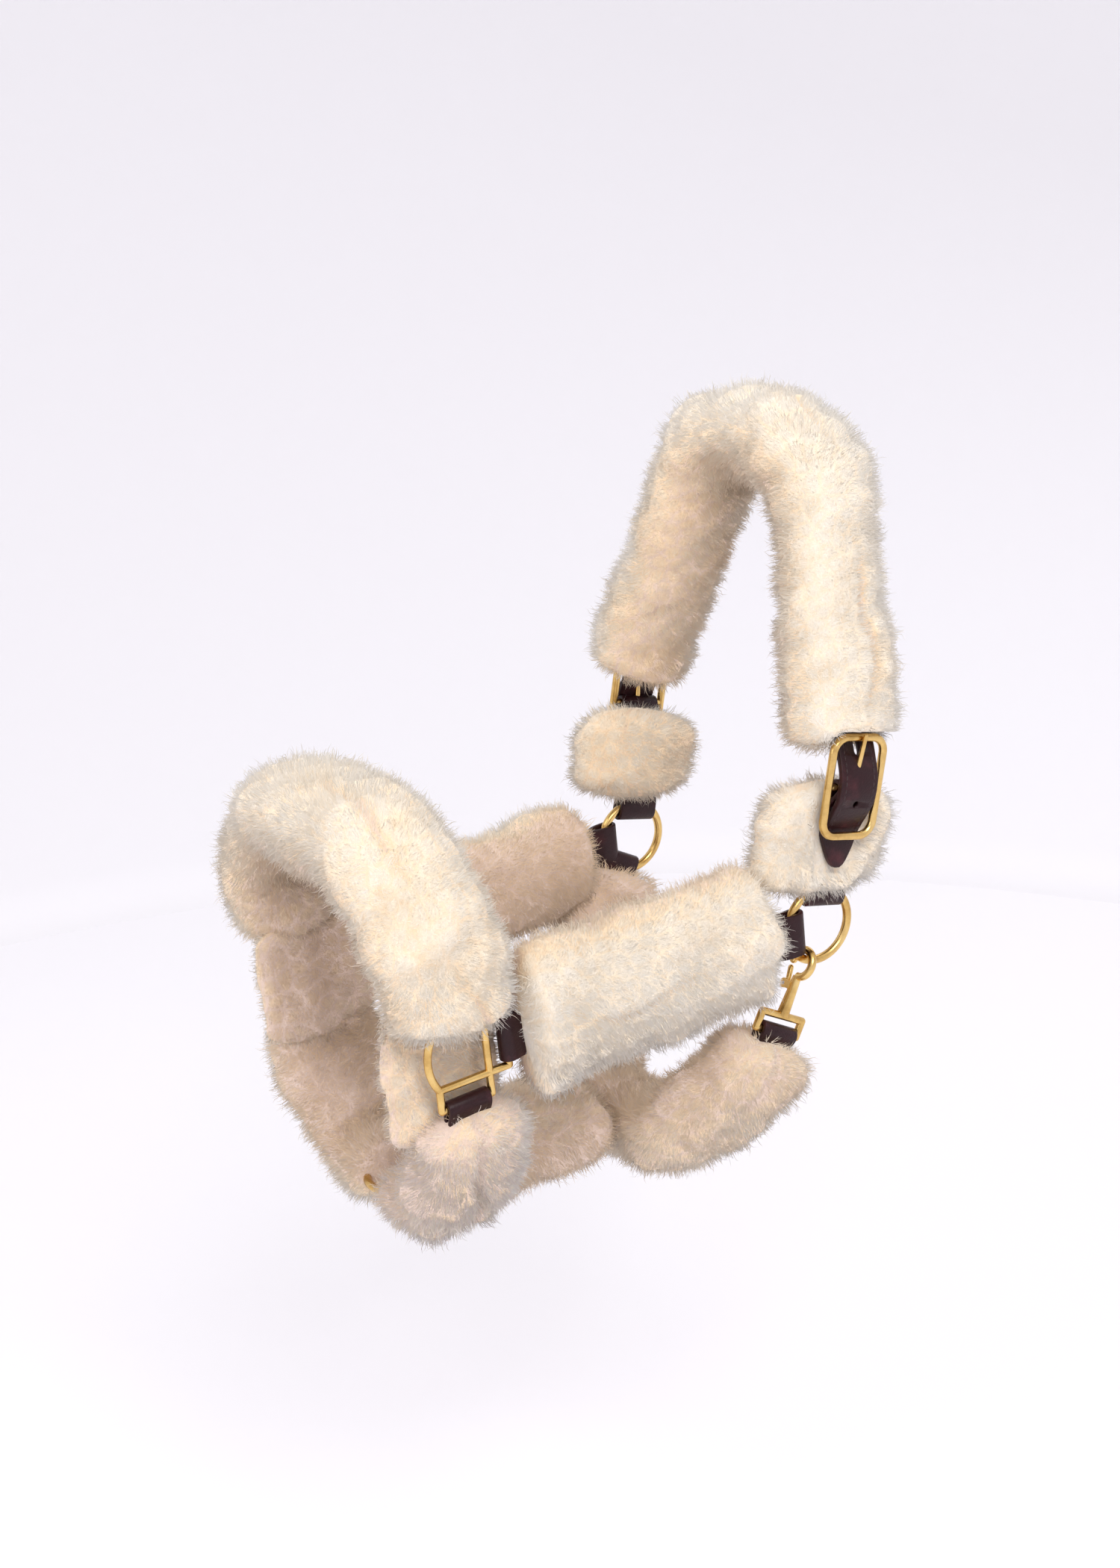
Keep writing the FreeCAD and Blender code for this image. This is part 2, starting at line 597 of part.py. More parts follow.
def sleeve(plane, points, radii, half_width, half_thick, n_shift=0.0):
    """A sheepskin tube along a route, before its strap's channel is cut."""
    solid = swept_ellipse(rounded_path(points, radii), half_width, half_thick)
    solid.translate(Z * n_shift)
    return plane.place(solid)


# Sleeve sizes: half the width along the strap's width, and half the thickness
CROWN_SLEEVE = (CROWN_SLEEVE_HALF_WIDTH, CROWN_SLEEVE_DEPTH)
UPPER_CHEEK_SLEEVE = (45.0, 24.0)
CHEEK_SLEEVE = (46.0, 29.0)
NOSE_SLEEVE = (40.0, 29.0)
CHIN_SLEEVE = (38.0, 27.5)
THROAT_SLEEVE = (38.0, 28.0)
GULLET_SLEEVE = (36.0, 26.0)
TRIM_GAP = 0.6          # between two sleeves that press on each other
RING_CLEARANCE = 0.9    # between a sleeve and a ring that turns in it
SQUARE_PAD = (39.0, 10.5)   # the flat wool pad behind each square
PAD_IN = 70.5
PAD_ENDS = (-28.0, 16.8)
PAD_AHEAD = 5.0
NOSE_SLEEVE_START = 22.0    # above the square's centre
NOSE_SLEEVE_LEAN = 6.0      # degrees that the sleeve leans forward on its strap
CHIN_SLEEVE_START = -37.5
CHIN_SLEEVE_LEAN = 6.0      # degrees that the sleeves hang back on their straps
GULLET_SLEEVE_START = 49.0  # behind the chin ring's centre
BUCKLE_ROOM = (93.5, 4.5, 23.0)     # how far out it begins, past the top bar, and half its width
UPPER_SLEEVE_ENDS = (19.0, 81.0)
UPPER_SLEEVE_AHEAD = 7.0
CHEEK_SLEEVE_RISE = (5.0, 8.0)      # at the ring and at the square
CHEEK_SLEEVE_ENDS = (39.0, 40.0)    # from the ring's and the square's centres


def ring_room():
    """The near cheek ring with the clearance that sleeves leave round it."""
    room = torus(RING_R, RING_WIRE_R + RING_CLEARANCE, Y)
    room.translate(near_ring)
    return room


def leaning(height, degrees):
    """The noseband's plane turned forward at the top, about a level line through its height."""
    turn = FreeCAD.Rotation(Y, degrees)
    up = turn.multVec(NOSE_UP)
    return Plane(SQUARE_MID + (NOSE_UP - up) * height, Y, up)


def crown_sleeve():
    """Its ends pass inside the buckles' top bars, and stop short of them outside."""
    arm = Vector(ARCH_HALF - BILLET_IN, CROWN_HEIGHT - buckle_high, 0)
    start_height = buckle_high - 6.0
    room_out, room_past, room_half = BUCKLE_ROOM
    start_out = BILLET_IN + arm.x / arm.y * (start_height - buckle_high)
    side = [(start_out, start_height), (ARCH_HALF, CROWN_HEIGHT)]
    route = side + [(-u, v) for u, v in reversed(side)]
    room = strap(crown_route, crown_radii, thickness=CROWN_THICK, grow=SLEEVE_GAP)
    buckle_room = box((room_out, 150.0), (buckle_low, buckle_high + room_past), (-room_half, room_half))
    tools = [crown_plane.place(tool) for tool in (room, buckle_room)]
    tube = sleeve(crown_plane, route, [ARCH_R, ARCH_R], *CROWN_SLEEVE, n_shift=CROWN_SLEEVE_AHEAD)
    return cut(tube, *tools, mirrored(tools[1]))


def cheek_sleeve(grow=0.0):
    """It sits a little high on its strap, and leaves a corner free for the snap or the lash."""
    rise_low, rise_high = CHEEK_SLEEVE_RISE
    low, high = near_ring + NOSE_UP * rise_low, near_square + NOSE_UP * rise_high
    along = unit(high - low)
    plane = Plane(low, along, NOSE_UP.cross(along))
    start, end = CHEEK_SLEEVE_ENDS
    half_width, half_thick = CHEEK_SLEEVE
    run = [(start - grow, 0), ((high - low).Length - end + grow, 0)]
    tube = sleeve(plane, run, [], half_width + grow, half_thick + grow)
    if grow:
        return tube
    half_room = SNAP_EYE_HALF_WIDTH + SNAP_EYE_WIRE_R + TRIM_GAP
    snap_room = box((RING_HALF_SPAN - 10.0, 150.0), (RING_R, SNAP_EYE_DROP + 8.0), (-half_room, half_room))
    room = strap(cheek_route, [], ring_fold, bar_fold, grow=SLEEVE_GAP)
    return cut(tube, cheek_plane.place(room), throat_plane.place(snap_room))


def upper_cheek_sleeve():
    """Short sleeve, pressed flat under the buckle and the billet's tail."""
    low, high = UPPER_SLEEVE_ENDS
    run = [(86.0, low), (89.0, high)]
    tube = sleeve(crown_plane, run, [], *UPPER_CHEEK_SLEEVE, n_shift=UPPER_SLEEVE_AHEAD)
    room = strap(upper_cheek_route, upper_cheek_radii, ring_fold, buckle_fold, grow=SLEEVE_GAP)
    under_buckle = box((96.6, 150.0), (buckle_low - 6.0, BUCKLE_HEIGHT + 5.0), (-21.6, 21.6))
    under_tail = box((96.8, 150.0), (TAIL_TIP[1] - 4.0, buckle_low), (-14.5, 14.5))
    tools = [crown_plane.place(tool) for tool in (room, under_buckle, under_tail)]
    return cut(tube, *tools, ring_room(), cheek_sleeve(TRIM_GAP))


def nose_sleeve():
    side = [(SQUARE_HALF_SPAN, NOSE_SLEEVE_START)] + nose_side[1:]
    route = side + [(-u, v) for u, v in reversed(side)]
    room = strap(nose_route, nose_radii, bar_fold, bar_fold, grow=SLEEVE_GAP)
    slots = []
    for end in (1, -1):
        out = end * SQUARE_HALF_SPAN
        slots.append(box((out - 3.4, out + 3.4), (15.0, slot_bar + 4.0), (-21, 21)))
    tools = [nose_plane.place(tool) for tool in [room] + slots]
    plane = leaning(NOSE_SLEEVE_START, NOSE_SLEEVE_LEAN)
    return cut(sleeve(plane, route, nose_radii, *NOSE_SLEEVE), *tools)


def square_pad():
    """Behind the near square, between the nose sleeve and the chin sleeve."""
    low, high = PAD_ENDS
    return sleeve(nose_plane, [(PAD_IN, low), (PAD_IN, high)], [], *SQUARE_PAD, n_shift=PAD_AHEAD)


def chin_sleeve():
    """From under the square to the chin ring, which turns in a groove in its end."""
    route = [(87.4, CHIN_SLEEVE_START)] + chin_route[1:-1] + [(20.0, -CHIN_DEPTH)]
    room = strap(chin_route, chin_radii, bar_fold, chin_ring_fold, grow=SLEEVE_GAP)
    lead_ring_room = torus(CHIN_RING_R, RING_WIRE_R + RING_CLEARANCE, NOSE_UP)
    lead_ring_room.translate(chin_centre)
    ring_floor = chin_centre - NOSE_UP * RING_WIRE_R
    inside_ring = Part.makeCylinder(CHIN_RING_R, 2 * RING_WIRE_R, ring_floor, NOSE_UP)
    tools = [nose_plane.place(room), lead_ring_room, inside_ring, gullet_room()]
    plane = leaning(CHIN_SLEEVE_START, CHIN_SLEEVE_LEAN)
    return cut(sleeve(plane, route, chin_radii, *CHIN_SLEEVE), *tools)


def throat_sleeve(grow=0.0):
    """From the far cheek ring, under the jaw, up to the snap hook's eye."""
    route = [(-93.8, 24.0)] + throat_route[1:-1] + [(92.1, 75.0)]
    half_width, half_thick = THROAT_SLEEVE
    tube = sleeve(throat_plane, route, throat_radii, half_width + grow, half_thick + grow)
    if grow:
        return tube
    room = throat_plane.place(strap(throat_route, throat_radii, ring_fold, snap_fold, grow=SLEEVE_GAP))
    cheek_room = cheek_plane.place(strap(cheek_route, [], ring_fold, bar_fold, grow=SLEEVE_GAP))
    near_trims = [cheek_sleeve(TRIM_GAP), cheek_room, ring_room()]
    return cut(tube, room, gullet_room(), *near_trims, *[mirrored(trim) for trim in near_trims])


def gullet_sleeve():
    """Round the gullet strap, from behind the chin ring to the throat sleeve."""
    bend = gullet_route[1]
    tube = sleeve(gullet_plane, [(GULLET_SLEEVE_START, 0.0), bend], [], *GULLET_SLEEVE)
    return cut(tube, gullet_room(), throat_sleeve(TRIM_GAP))


def build():
    ring = torus(RING_R, RING_WIRE_R, Y)
    ring.translate(near_ring)
    chin_ring = torus(CHIN_RING_R, RING_WIRE_R, NOSE_UP)
    chin_ring.translate(chin_centre)
    pairs = {
        "upper_cheek_strap": upper_cheek_strap(),
        "cheek_strap": cheek_plane.place(strap(cheek_route, [], ring_fold, bar_fold)),
        "chin_strap": nose_plane.place(strap(chin_route, chin_radii, bar_fold, chin_ring_fold)),
        "buckle_frame": buckle_frame(),
        "buckle_prong": buckle_prong(),
        "cheek_ring": ring,
        "noseband_square": noseband_square(),
        "upper_cheek_sleeve": upper_cheek_sleeve(),
        "cheek_sleeve": cheek_sleeve(),
        "chin_sleeve": chin_sleeve(),
        "square_pad": square_pad(),
    }
    nodes = {
        "crown_strap": crown_strap(),
        "nose_strap": nose_plane.place(strap(nose_route, nose_radii, bar_fold, bar_fold)),
        "throat_strap": throat_strap(),
        "gullet_strap": gullet_strap(),
        "chin_ring": chin_ring,
        "snap_hook": snap_hook(),
        "snap_gate": snap_gate(),
        "snap_gate_pin": snap_gate_pin(),
        "snap_gate_spring": snap_gate_spring(),
        "crown_sleeve": crown_sleeve(),
        "nose_sleeve": nose_sleeve(),
        "throat_sleeve": throat_sleeve(),
        "gullet_sleeve": gullet_sleeve(),
    }
    for name, shape in pairs.items():
        nodes["near_" + name] = shape
        nodes["far_" + name] = mirrored(shape)
    return nodes


os.makedirs("parts", exist_ok=True)
for name, shape in build().items():
    shape.exportStep("parts/" + name + ".step")
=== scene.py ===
"""Looks of the sheepskin-sleeved leather headcollar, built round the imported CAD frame.

Shapes are worked out in millimetres in the same flat planes as the CAD and made in metres.
+X points to the horse's nose, +Y to its left (near) side, +Z up.
"""
import bpy
import math
import numpy as np
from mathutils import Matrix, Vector
from mathutils.kdtree import KDTree


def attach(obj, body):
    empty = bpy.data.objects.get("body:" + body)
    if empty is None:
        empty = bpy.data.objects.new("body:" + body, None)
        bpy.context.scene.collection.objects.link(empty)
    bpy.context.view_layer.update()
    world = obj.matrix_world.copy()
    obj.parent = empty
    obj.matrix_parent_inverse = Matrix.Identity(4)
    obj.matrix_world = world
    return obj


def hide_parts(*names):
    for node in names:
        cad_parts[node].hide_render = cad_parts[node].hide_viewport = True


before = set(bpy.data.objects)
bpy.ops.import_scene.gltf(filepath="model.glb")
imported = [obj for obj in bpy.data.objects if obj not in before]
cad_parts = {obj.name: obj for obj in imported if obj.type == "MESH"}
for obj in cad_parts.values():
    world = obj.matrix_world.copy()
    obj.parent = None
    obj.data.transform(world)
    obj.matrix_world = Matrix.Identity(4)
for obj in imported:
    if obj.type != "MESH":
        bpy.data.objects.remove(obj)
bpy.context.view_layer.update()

ROOT = "headcollar"
SIDES = ("near", "far")
MM = 0.001
SEED = 7


# ---------------------------------------------------------------- camera, floor and light

RING_MID = np.array([34.807, 0.0, -232.898])        # between the two cheek rings
VIEW_AZIMUTH = math.radians(37.0)
VIEW_HEIGHT = math.radians(19.5)
VIEW_DISTANCE = 1500.0
IMAGE_HEIGHT_PX = 2100.0
FOCAL_PX = 3330.0
TARGET_OFF_CENTRE = (216.0, -121.0)     # RING_MID in the image, right and up of its centre, in pixels
SENSOR_MM = 36.0

FLOOR_LEVEL, FLOOR_FLAT, FLOOR_CURVE, WALL_HEIGHT = -0.66, 1.2, 2.2, 3.4        # in metres
FLOOR_SIDES, CURVE_STEPS = 96, 24
FLOOR_COLOUR = (0.875, 0.87, 0.91, 1.0)
WORLD_COLOUR, WORLD_STRENGTH = (1.0, 0.97, 0.955, 1.0), 0.95
LIGHTS_AIM = (0.12, 0.0, -0.2)


def make_camera():
    towards = np.array([math.sin(VIEW_AZIMUTH) * math.cos(VIEW_HEIGHT),
                        math.cos(VIEW_AZIMUTH) * math.cos(VIEW_HEIGHT),
                        math.sin(VIEW_HEIGHT)])
    right = np.array([-math.cos(VIEW_AZIMUTH), math.sin(VIEW_AZIMUTH), 0.0])
    up = np.cross(towards, right)
    aim = -towards * FOCAL_PX - right * TARGET_OFF_CENTRE[0] - up * TARGET_OFF_CENTRE[1]
    data = bpy.data.cameras.new("camera")
    data.sensor_width = SENSOR_MM
    data.lens = SENSOR_MM * FOCAL_PX / IMAGE_HEIGHT_PX
    data.clip_start = 0.05
    data.clip_end = 50.0
    camera = bpy.data.objects.new("camera", data)
    bpy.context.scene.collection.objects.link(camera)
    camera.location = Vector((RING_MID + towards * VIEW_DISTANCE) * MM)
    camera.rotation_euler = Vector(aim).to_track_quat("-Z", "Y").to_euler()
    bpy.context.scene.camera = camera


def area_light(name, place, size, power, colour=(1.0, 1.0, 1.0)):
    data = bpy.data.lights.new(name, "AREA")
    data.shape = "DISK"
    data.size = size
    data.energy = power
    data.color = colour
    light = bpy.data.objects.new(name, data)
    bpy.context.scene.collection.objects.link(light)
    light.location = place
    light.rotation_euler = (Vector(LIGHTS_AIM) - Vector(place)).to_track_quat("-Z", "Y").to_euler()


def make_floor():
    """A round pale floor that curves up into a wall on every side."""
    profile = [(FLOOR_FLAT, FLOOR_LEVEL)]
    for k in range(1, CURVE_STEPS + 1):
        a = math.radians(90.0 * k / CURVE_STEPS)
        profile.append((FLOOR_FLAT + FLOOR_CURVE * math.sin(a), FLOOR_LEVEL + FLOOR_CURVE * (1 - math.cos(a))))
    profile.append((FLOOR_FLAT + FLOOR_CURVE, FLOOR_LEVEL + WALL_HEIGHT))
    turns = FLOOR_SIDES
    verts = [(r * math.cos(2 * math.pi * t / turns), r * math.sin(2 * math.pi * t / turns), z)
             for r, z in profile for t in range(turns)]
    faces = [(i * turns + t, i * turns + (t + 1) % turns, (i + 1) * turns + (t + 1) % turns, (i + 1) * turns + t)
             for i in range(len(profile) - 1) for t in range(turns)]
    faces.append(tuple(range(turns)))
    mesh = bpy.data.meshes.new("floor")
    mesh.from_pydata(verts, [], faces)
    mesh.polygons.foreach_set("use_smooth", [True] * (len(faces) - 1) + [False])
    floor = bpy.data.objects.new("floor", mesh)
    bpy.context.scene.collection.objects.link(floor)
    mesh.materials.append(new_material("floor", {"Base Color": FLOOR_COLOUR, "Roughness": 0.95,
                                                 "Specular IOR Level": 0.1})[0])


def make_stage():
    scene = bpy.context.scene
    scene.view_settings.view_transform = "Standard"
    world = bpy.data.worlds.new("studio")
    scene.world = world
    world.use_nodes = True
    background = world.node_tree.nodes["Background"]
    background.inputs["Color"].default_value = WORLD_COLOUR
    background.inputs["Strength"].default_value = WORLD_STRENGTH
    make_floor()
    area_light("key", (0.55, 1.45, 1.3), 1.1, 18.0, (1.0, 0.985, 0.96))
    area_light("fill", (1.8, 0.1, 0.6), 1.4, 8.0, (1.0, 0.98, 0.97))
    area_light("back", (-1.4, -0.7, 1.3), 1.3, 7.0)


# ---------------------------------------------------------------- planes, routes and meshes

def unit(vector):
    return vector / np.linalg.norm(vector)


def tilted(degrees, sign=1.0):
    angle = math.radians(degrees)
    return np.array([math.sin(angle), 0.0, math.cos(angle)]) * sign


class Plane:
    """A strap's flat working plane: u and v lie in it, n is the strap's width direction.

    A plane of the far side is the near one mirrored: only the points that it gives out are flipped.
    """

    def __init__(self, origin, u, v, side=1):
        self.origin, self.u, self.v = np.array(origin, float), unit(np.array(u, float)), unit(np.array(v, float))
        self.n = np.cross(self.u, self.v)
        self.side = side
        self.flip = np.array([1.0, side, 1.0])
        self.across = self.n * self.flip

    def at(self, uv, n=0.0):
        """Points in space for an array of (u, v), n mm to the side."""
        uv = np.atleast_2d(uv)
        n = np.broadcast_to(n, len(uv))
        return (self.origin + uv[:, :1] * self.u + uv[:, 1:2] * self.v + n[:, None] * self.n) * self.flip

    def direction(self, uv):
        return (uv[:, :1] * self.u + uv[:, 1:2] * self.v) * self.flip

    def on(self, side):
        return self if side == "near" else Plane(self.origin, self.u, self.v, -1)


Y = np.array([0.0, 1.0, 0.0])
CROWN_UP = tilted(-8.5)
SQUARE_MID = RING_MID + np.array([234.0, 0.0, -27.0])
FORWARD = unit(SQUARE_MID - RING_MID)
NOSE_UP = np.cross(FORWARD, Y)
THROAT_DOWN = tilted(-25.0, -1.0)
RING_HALF_SPAN, SQUARE_HALF_SPAN = 94.0, 88.0
RING_R, CHIN_RING_R = 21.5, 20.5
BUCKLE_OUT, BUCKLE_HEIGHT, BUCKLE_HALF = 106.0, 84.0, 28.5
CROWN_HEIGHT, ARCH_HALF, ARCH_R = 265.5, 47.0, 46.0
CHIN_DEPTH, THROAT_DEPTH, SNAP_EYE_DROP = 110.0, 153.0, 66.5
SLOT_BAR, CHEEK_BAR = 28.8, 27.9        # a square's bars, above and below its middle, and behind it
STRAP_WIDTH, PLY = 26.0, 2.44

crown_plane = Plane(RING_MID, Y, CROWN_UP)
nose_plane = Plane(SQUARE_MID, Y, NOSE_UP)
throat_plane = Plane(RING_MID, Y, THROAT_DOWN)
near_ring = RING_MID + Y * RING_HALF_SPAN
near_square = SQUARE_MID + Y * SQUARE_HALF_SPAN
cheek_start = near_ring + FORWARD * RING_R
cheek_end = near_square - FORWARD * CHEEK_BAR
cheek_along = unit(cheek_end - cheek_start)
CHEEK_LENGTH = float(np.linalg.norm(cheek_end - cheek_start))
cheek_plane = Plane(cheek_start, cheek_along, np.cross(NOSE_UP, cheek_along))
chin_centre = SQUARE_MID - NOSE_UP * CHIN_DEPTH
throat_bottom = RING_MID + THROAT_DOWN * THROAT_DEPTH
gullet_plane = Plane(chin_centre, -FORWARD, NOSE_UP)


def leaning(height, degrees):
    """The noseband's plane turned forward at the top, about a level line through its height."""
    turn = math.radians(degrees)
    up = NOSE_UP * math.cos(turn) + FORWARD * math.sin(turn)
    return Plane(SQUARE_MID + (NOSE_UP - up) * height, Y, up)


def mirror_route(side):
    return side + [(-u, v) for u, v in reversed(side)]


BILLET_IN, BILLET_CORNER = BUCKLE_OUT - 7.1, 113.62
buckle_low, buckle_high = BUCKLE_HEIGHT - BUCKLE_HALF, BUCKLE_HEIGHT + BUCKLE_HALF
TAIL_TIP = (101.5, 36.0)
crown_route = mirror_route([TAIL_TIP, (BILLET_IN, buckle_low), (BILLET_CORNER, BUCKLE_HEIGHT),
                            (BILLET_IN, buckle_high), (ARCH_HALF, CROWN_HEIGHT)])
crown_radii = [12.0, 28.0, 20.0, ARCH_R, ARCH_R, 20.0, 28.0, 12.0]
upper_route = [(RING_HALF_SPAN, RING_R), (RING_HALF_SPAN, 62.0), (BUCKLE_OUT, BUCKLE_HEIGHT)]
cheek_route = [(0.0, 0.0), (CHEEK_LENGTH, 0.0)]
nose_side = [(SQUARE_HALF_SPAN, SLOT_BAR), (86.5, 67.0), (53.0, 111.0)]
nose_radii = [42.0] * 4
nose_route = mirror_route(nose_side)
chin_route = [(SQUARE_HALF_SPAN, -SLOT_BAR), (83.5, -58.0), (46.0, -CHIN_DEPTH), (CHIN_RING_R, -CHIN_DEPTH)]
chin_radii = [40.0, 32.0]
throat_route = [(-RING_HALF_SPAN, RING_R), (-93.0, 45.0), (-44.0, THROAT_DEPTH), (40.0, THROAT_DEPTH),
                (88.0, 92.0), (RING_HALF_SPAN, SNAP_EYE_DROP)]
throat_radii = [50.0, 45.0, 45.0, 40.0]


def gullet_points():
    """From the chin ring straight back, then in the throat lash's own direction to the lash."""
    to_lash = throat_bottom - chin_centre
    lash = np.array([to_lash @ gullet_plane.u, to_lash @ gullet_plane.v])
    slope = np.array([throat_plane.n @ gullet_plane.u, throat_plane.n @ gullet_plane.v])
    back = lash[1] / slope[1]
    return [(CHIN_RING_R, 0.0), (float(lash[0] - slope[0] * back), 0.0), (float(lash[0]), float(lash[1]))]


gullet_route = gullet_points()


def measured(points):
    """The points without repeats, and how far along the line each one lies."""
    gaps = np.linalg.norm(np.diff(points, axis=0), axis=1)
    points = points[np.r_[True, gaps > 1e-6]]
    return points, np.r_[0.0, np.cumsum(np.linalg.norm(np.diff(points, axis=0), axis=1))]


CORNER_POINTS = 17


class Path:
    """A route with rounded corners, sampled evenly, with its sideways normals."""

    def __init__(self, points, radii=(), step=2.0):
        points = [np.array(p, float) for p in points]
        dense = [points[0]]
        for before, corner, after, radius in zip(points, points[1:], points[2:], radii):
            back, ahead = unit(before - corner), unit(after - corner)
            half = math.acos(np.clip(back @ ahead, -1.0, 1.0)) / 2
            reach = radius / math.tan(half)
            centre = corner + unit(back + ahead) * (radius / math.sin(half))
            start, end = corner + back * reach - centre, corner + ahead * reach - centre
            turn = math.atan2(start[0] * end[1] - start[1] * end[0], start @ end)
            for t in np.linspace(0.0, 1.0, CORNER_POINTS):
                c, s = math.cos(turn * t), math.sin(turn * t)
                dense.append(centre + np.array([c * start[0] - s * start[1], s * start[0] + c * start[1]]))
        dense, along = measured(np.array(dense + [points[-1]]))
        self.length = float(along[-1])
        self.s = np.linspace(0.0, self.length, max(3, int(self.length / step) + 1))
        self.points = np.stack([np.interp(self.s, along, dense[:, k]) for k in (0, 1)], 1)
        tangent = np.gradient(self.points, axis=0)
        self.tangent = tangent / np.linalg.norm(tangent, axis=1)[:, None]
        self.normal = np.stack([-self.tangent[:, 1], self.tangent[:, 0]], 1)

    def sample(self, s):
        pick = [np.interp(s, self.s, a[:, k]) for a in (self.points, self.tangent, self.normal) for k in (0, 1)]
        points, tangent, normal = (np.stack(pick[i:i + 2], -1) for i in (0, 2, 4))
        return points, tangent, normal / np.linalg.norm(normal, axis=-1, keepdims=True)


def make_mesh(name, points, faces, materials, body=ROOT):
    """A smooth object from points in mm and faces given as one index array per face size."""
    mesh = bpy.data.meshes.new(name)
    faces = [np.asarray(f, dtype=np.int32) for f in faces if len(f)]
    loops = np.concatenate([f.ravel() for f in faces])
    sizes = np.concatenate([np.full(len(f), f.shape[1], dtype=np.int32) for f in faces])
    mesh.vertices.add(len(points))
    mesh.vertices.foreach_set("co", (np.asarray(points, dtype=np.float32) * MM).ravel())
    mesh.loops.add(len(loops))
    mesh.loops.foreach_set("vertex_index", loops)
    mesh.polygons.add(len(sizes))
    mesh.polygons.foreach_set("loop_start", np.r_[0, np.cumsum(sizes)[:-1]].astype(np.int32))
    mesh.polygons.foreach_set("use_smooth", np.full(len(sizes), True))
    for material in materials:
        mesh.materials.append(material)
    mesh.update(calc_edges=True)
    mesh.validate()
    piece = bpy.data.objects.new(name, mesh)
    bpy.context.scene.collection.objects.link(piece)
    if body:
        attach(piece, body)
    return piece


def grid_faces(rows, columns, close_rows=False):
    """Quads between neighbouring rows of points, where each row is a closed ring."""
    r, c = np.meshgrid(np.arange(rows if close_rows else rows - 1), np.arange(columns), indexing="ij")
    r2, c2 = (r + 1) % rows, (c + 1) % columns
    return np.stack([r * columns + c, r * columns + c2, r2 * columns + c2, r2 * columns + c], -1).reshape(-1, 4)


def end_faces(rows, columns):
    """The two faces that close a grid of rings at its first and its last row."""
    return [np.arange(columns)[None, ::-1], np.arange((rows - 1) * columns, rows * columns)[None, :]]


WAVE_COUNT = 5


def waves(points, wavelength, seed):
    """Smooth noise of about unit size, from a few crossed waves."""
    rng = np.random.default_rng(seed)
    total = np.zeros(len(points))
    for _ in range(WAVE_COUNT):
        direction = rng.normal(size=3)
        direction *= 2 * math.pi / wavelength / np.linalg.norm(direction) * rng.uniform(0.7, 1.4)
        total += np.sin(points @ direction + rng.uniform(0, 2 * math.pi))
    return total / math.sqrt(WAVE_COUNT / 2)


# ---------------------------------------------------------------- materials

def new_material(name, settings):
    """A material with these constants on its shader's own sockets."""
    material = bpy.data.materials.new(name)
    material.use_nodes = True
    nodes, links = material.node_tree.nodes, material.node_tree.links
    shader = nodes["Principled BSDF"]
    for key, value in settings.items():
        shader.inputs[key].default_value = value
    return material, nodes, links, shader


def add(nodes, kind, **settings):
    node = nodes.new(kind)
    for key, value in settings.items():
        if key in node.inputs.keys():
            node.inputs[key].default_value = value
        else:
            setattr(node, key, value)
    return node


def ramp(nodes, links, source, stops):
    node = nodes.new("ShaderNodeValToRGB")
    elements = node.color_ramp.elements
    while len(elements) < len(stops):
        elements.new(0.5)
    for element, (place, colour) in zip(elements, stops):
        element.position = place
        element.color = (*colour, 1.0)
    links.new(source, node.inputs["Fac"])
    return node.outputs["Color"]


def bump(nodes, links, source, strength, distance, normal=None):
    node = add(nodes, "ShaderNodeBump", Strength=strength, Distance=distance)
    links.new(source, node.inputs["Height"])
    if normal:
        links.new(normal, node.inputs["Normal"])
    return node.outputs["Normal"]


def noise(nodes, links, kind="ShaderNodeTexNoise", **settings):
    """A texture that is fixed to its object."""
    node = add(nodes, kind, **settings)
    links.new(nodes.new("ShaderNodeTexCoord").outputs["Object"], node.inputs["Vector"])
    return node


def rough_between(nodes, links, source, shader, low, high):
    node = add(nodes, "ShaderNodeMapRange", **{"To Min": low, "To Max": high})
    links.new(source, node.inputs["Value"])
    links.new(node.outputs["Result"], shader.inputs["Roughness"])


def leather_material(name, base, worn, rough):
    material, nodes, links, shader = new_material(name, {
        "Specular IOR Level": 0.22, "Coat Weight": 0.06, "Coat Roughness": 0.3})
    patches = noise(nodes, links, Scale=70.0, Detail=5.0, Roughness=0.6).outputs["Fac"]
    grain = noise(nodes, links, "ShaderNodeTexVoronoi", Scale=900.0)
    creases = noise(nodes, links, Scale=420.0, Detail=4.0, Distortion=0.6)
    links.new(ramp(nodes, links, patches, [(0.3, base), (0.55, [c * 1.25 for c in base]), (0.72, worn)]),
              shader.inputs["Base Color"])
    rough_between(nodes, links, patches, shader, rough - 0.1, rough + 0.14)
    first = bump(nodes, links, creases.outputs["Fac"], 0.25, 0.0004)
    links.new(bump(nodes, links, grain.outputs["Distance"], 0.35, 0.0003, first), shader.inputs["Normal"])
    return material


def brass_material():
    material, nodes, links, shader = new_material("polished_brass", {"Metallic": 1.0})
    tarnish = noise(nodes, links, Scale=55.0, Detail=6.0, Roughness=0.65).outputs["Fac"]
    scratches = noise(nodes, links, Scale=700.0, Detail=3.0, Distortion=1.2)
    links.new(ramp(nodes, links, tarnish, [(0.3, (0.50, 0.30, 0.09)), (0.5, (0.74, 0.50, 0.18)),
                                           (0.75, (0.88, 0.66, 0.29))]), shader.inputs["Base Color"])
    rough_between(nodes, links, tarnish, shader, 0.14, 0.32)
    links.new(bump(nodes, links, scratches.outputs["Fac"], 0.12, 0.0002), shader.inputs["Normal"])
    return material


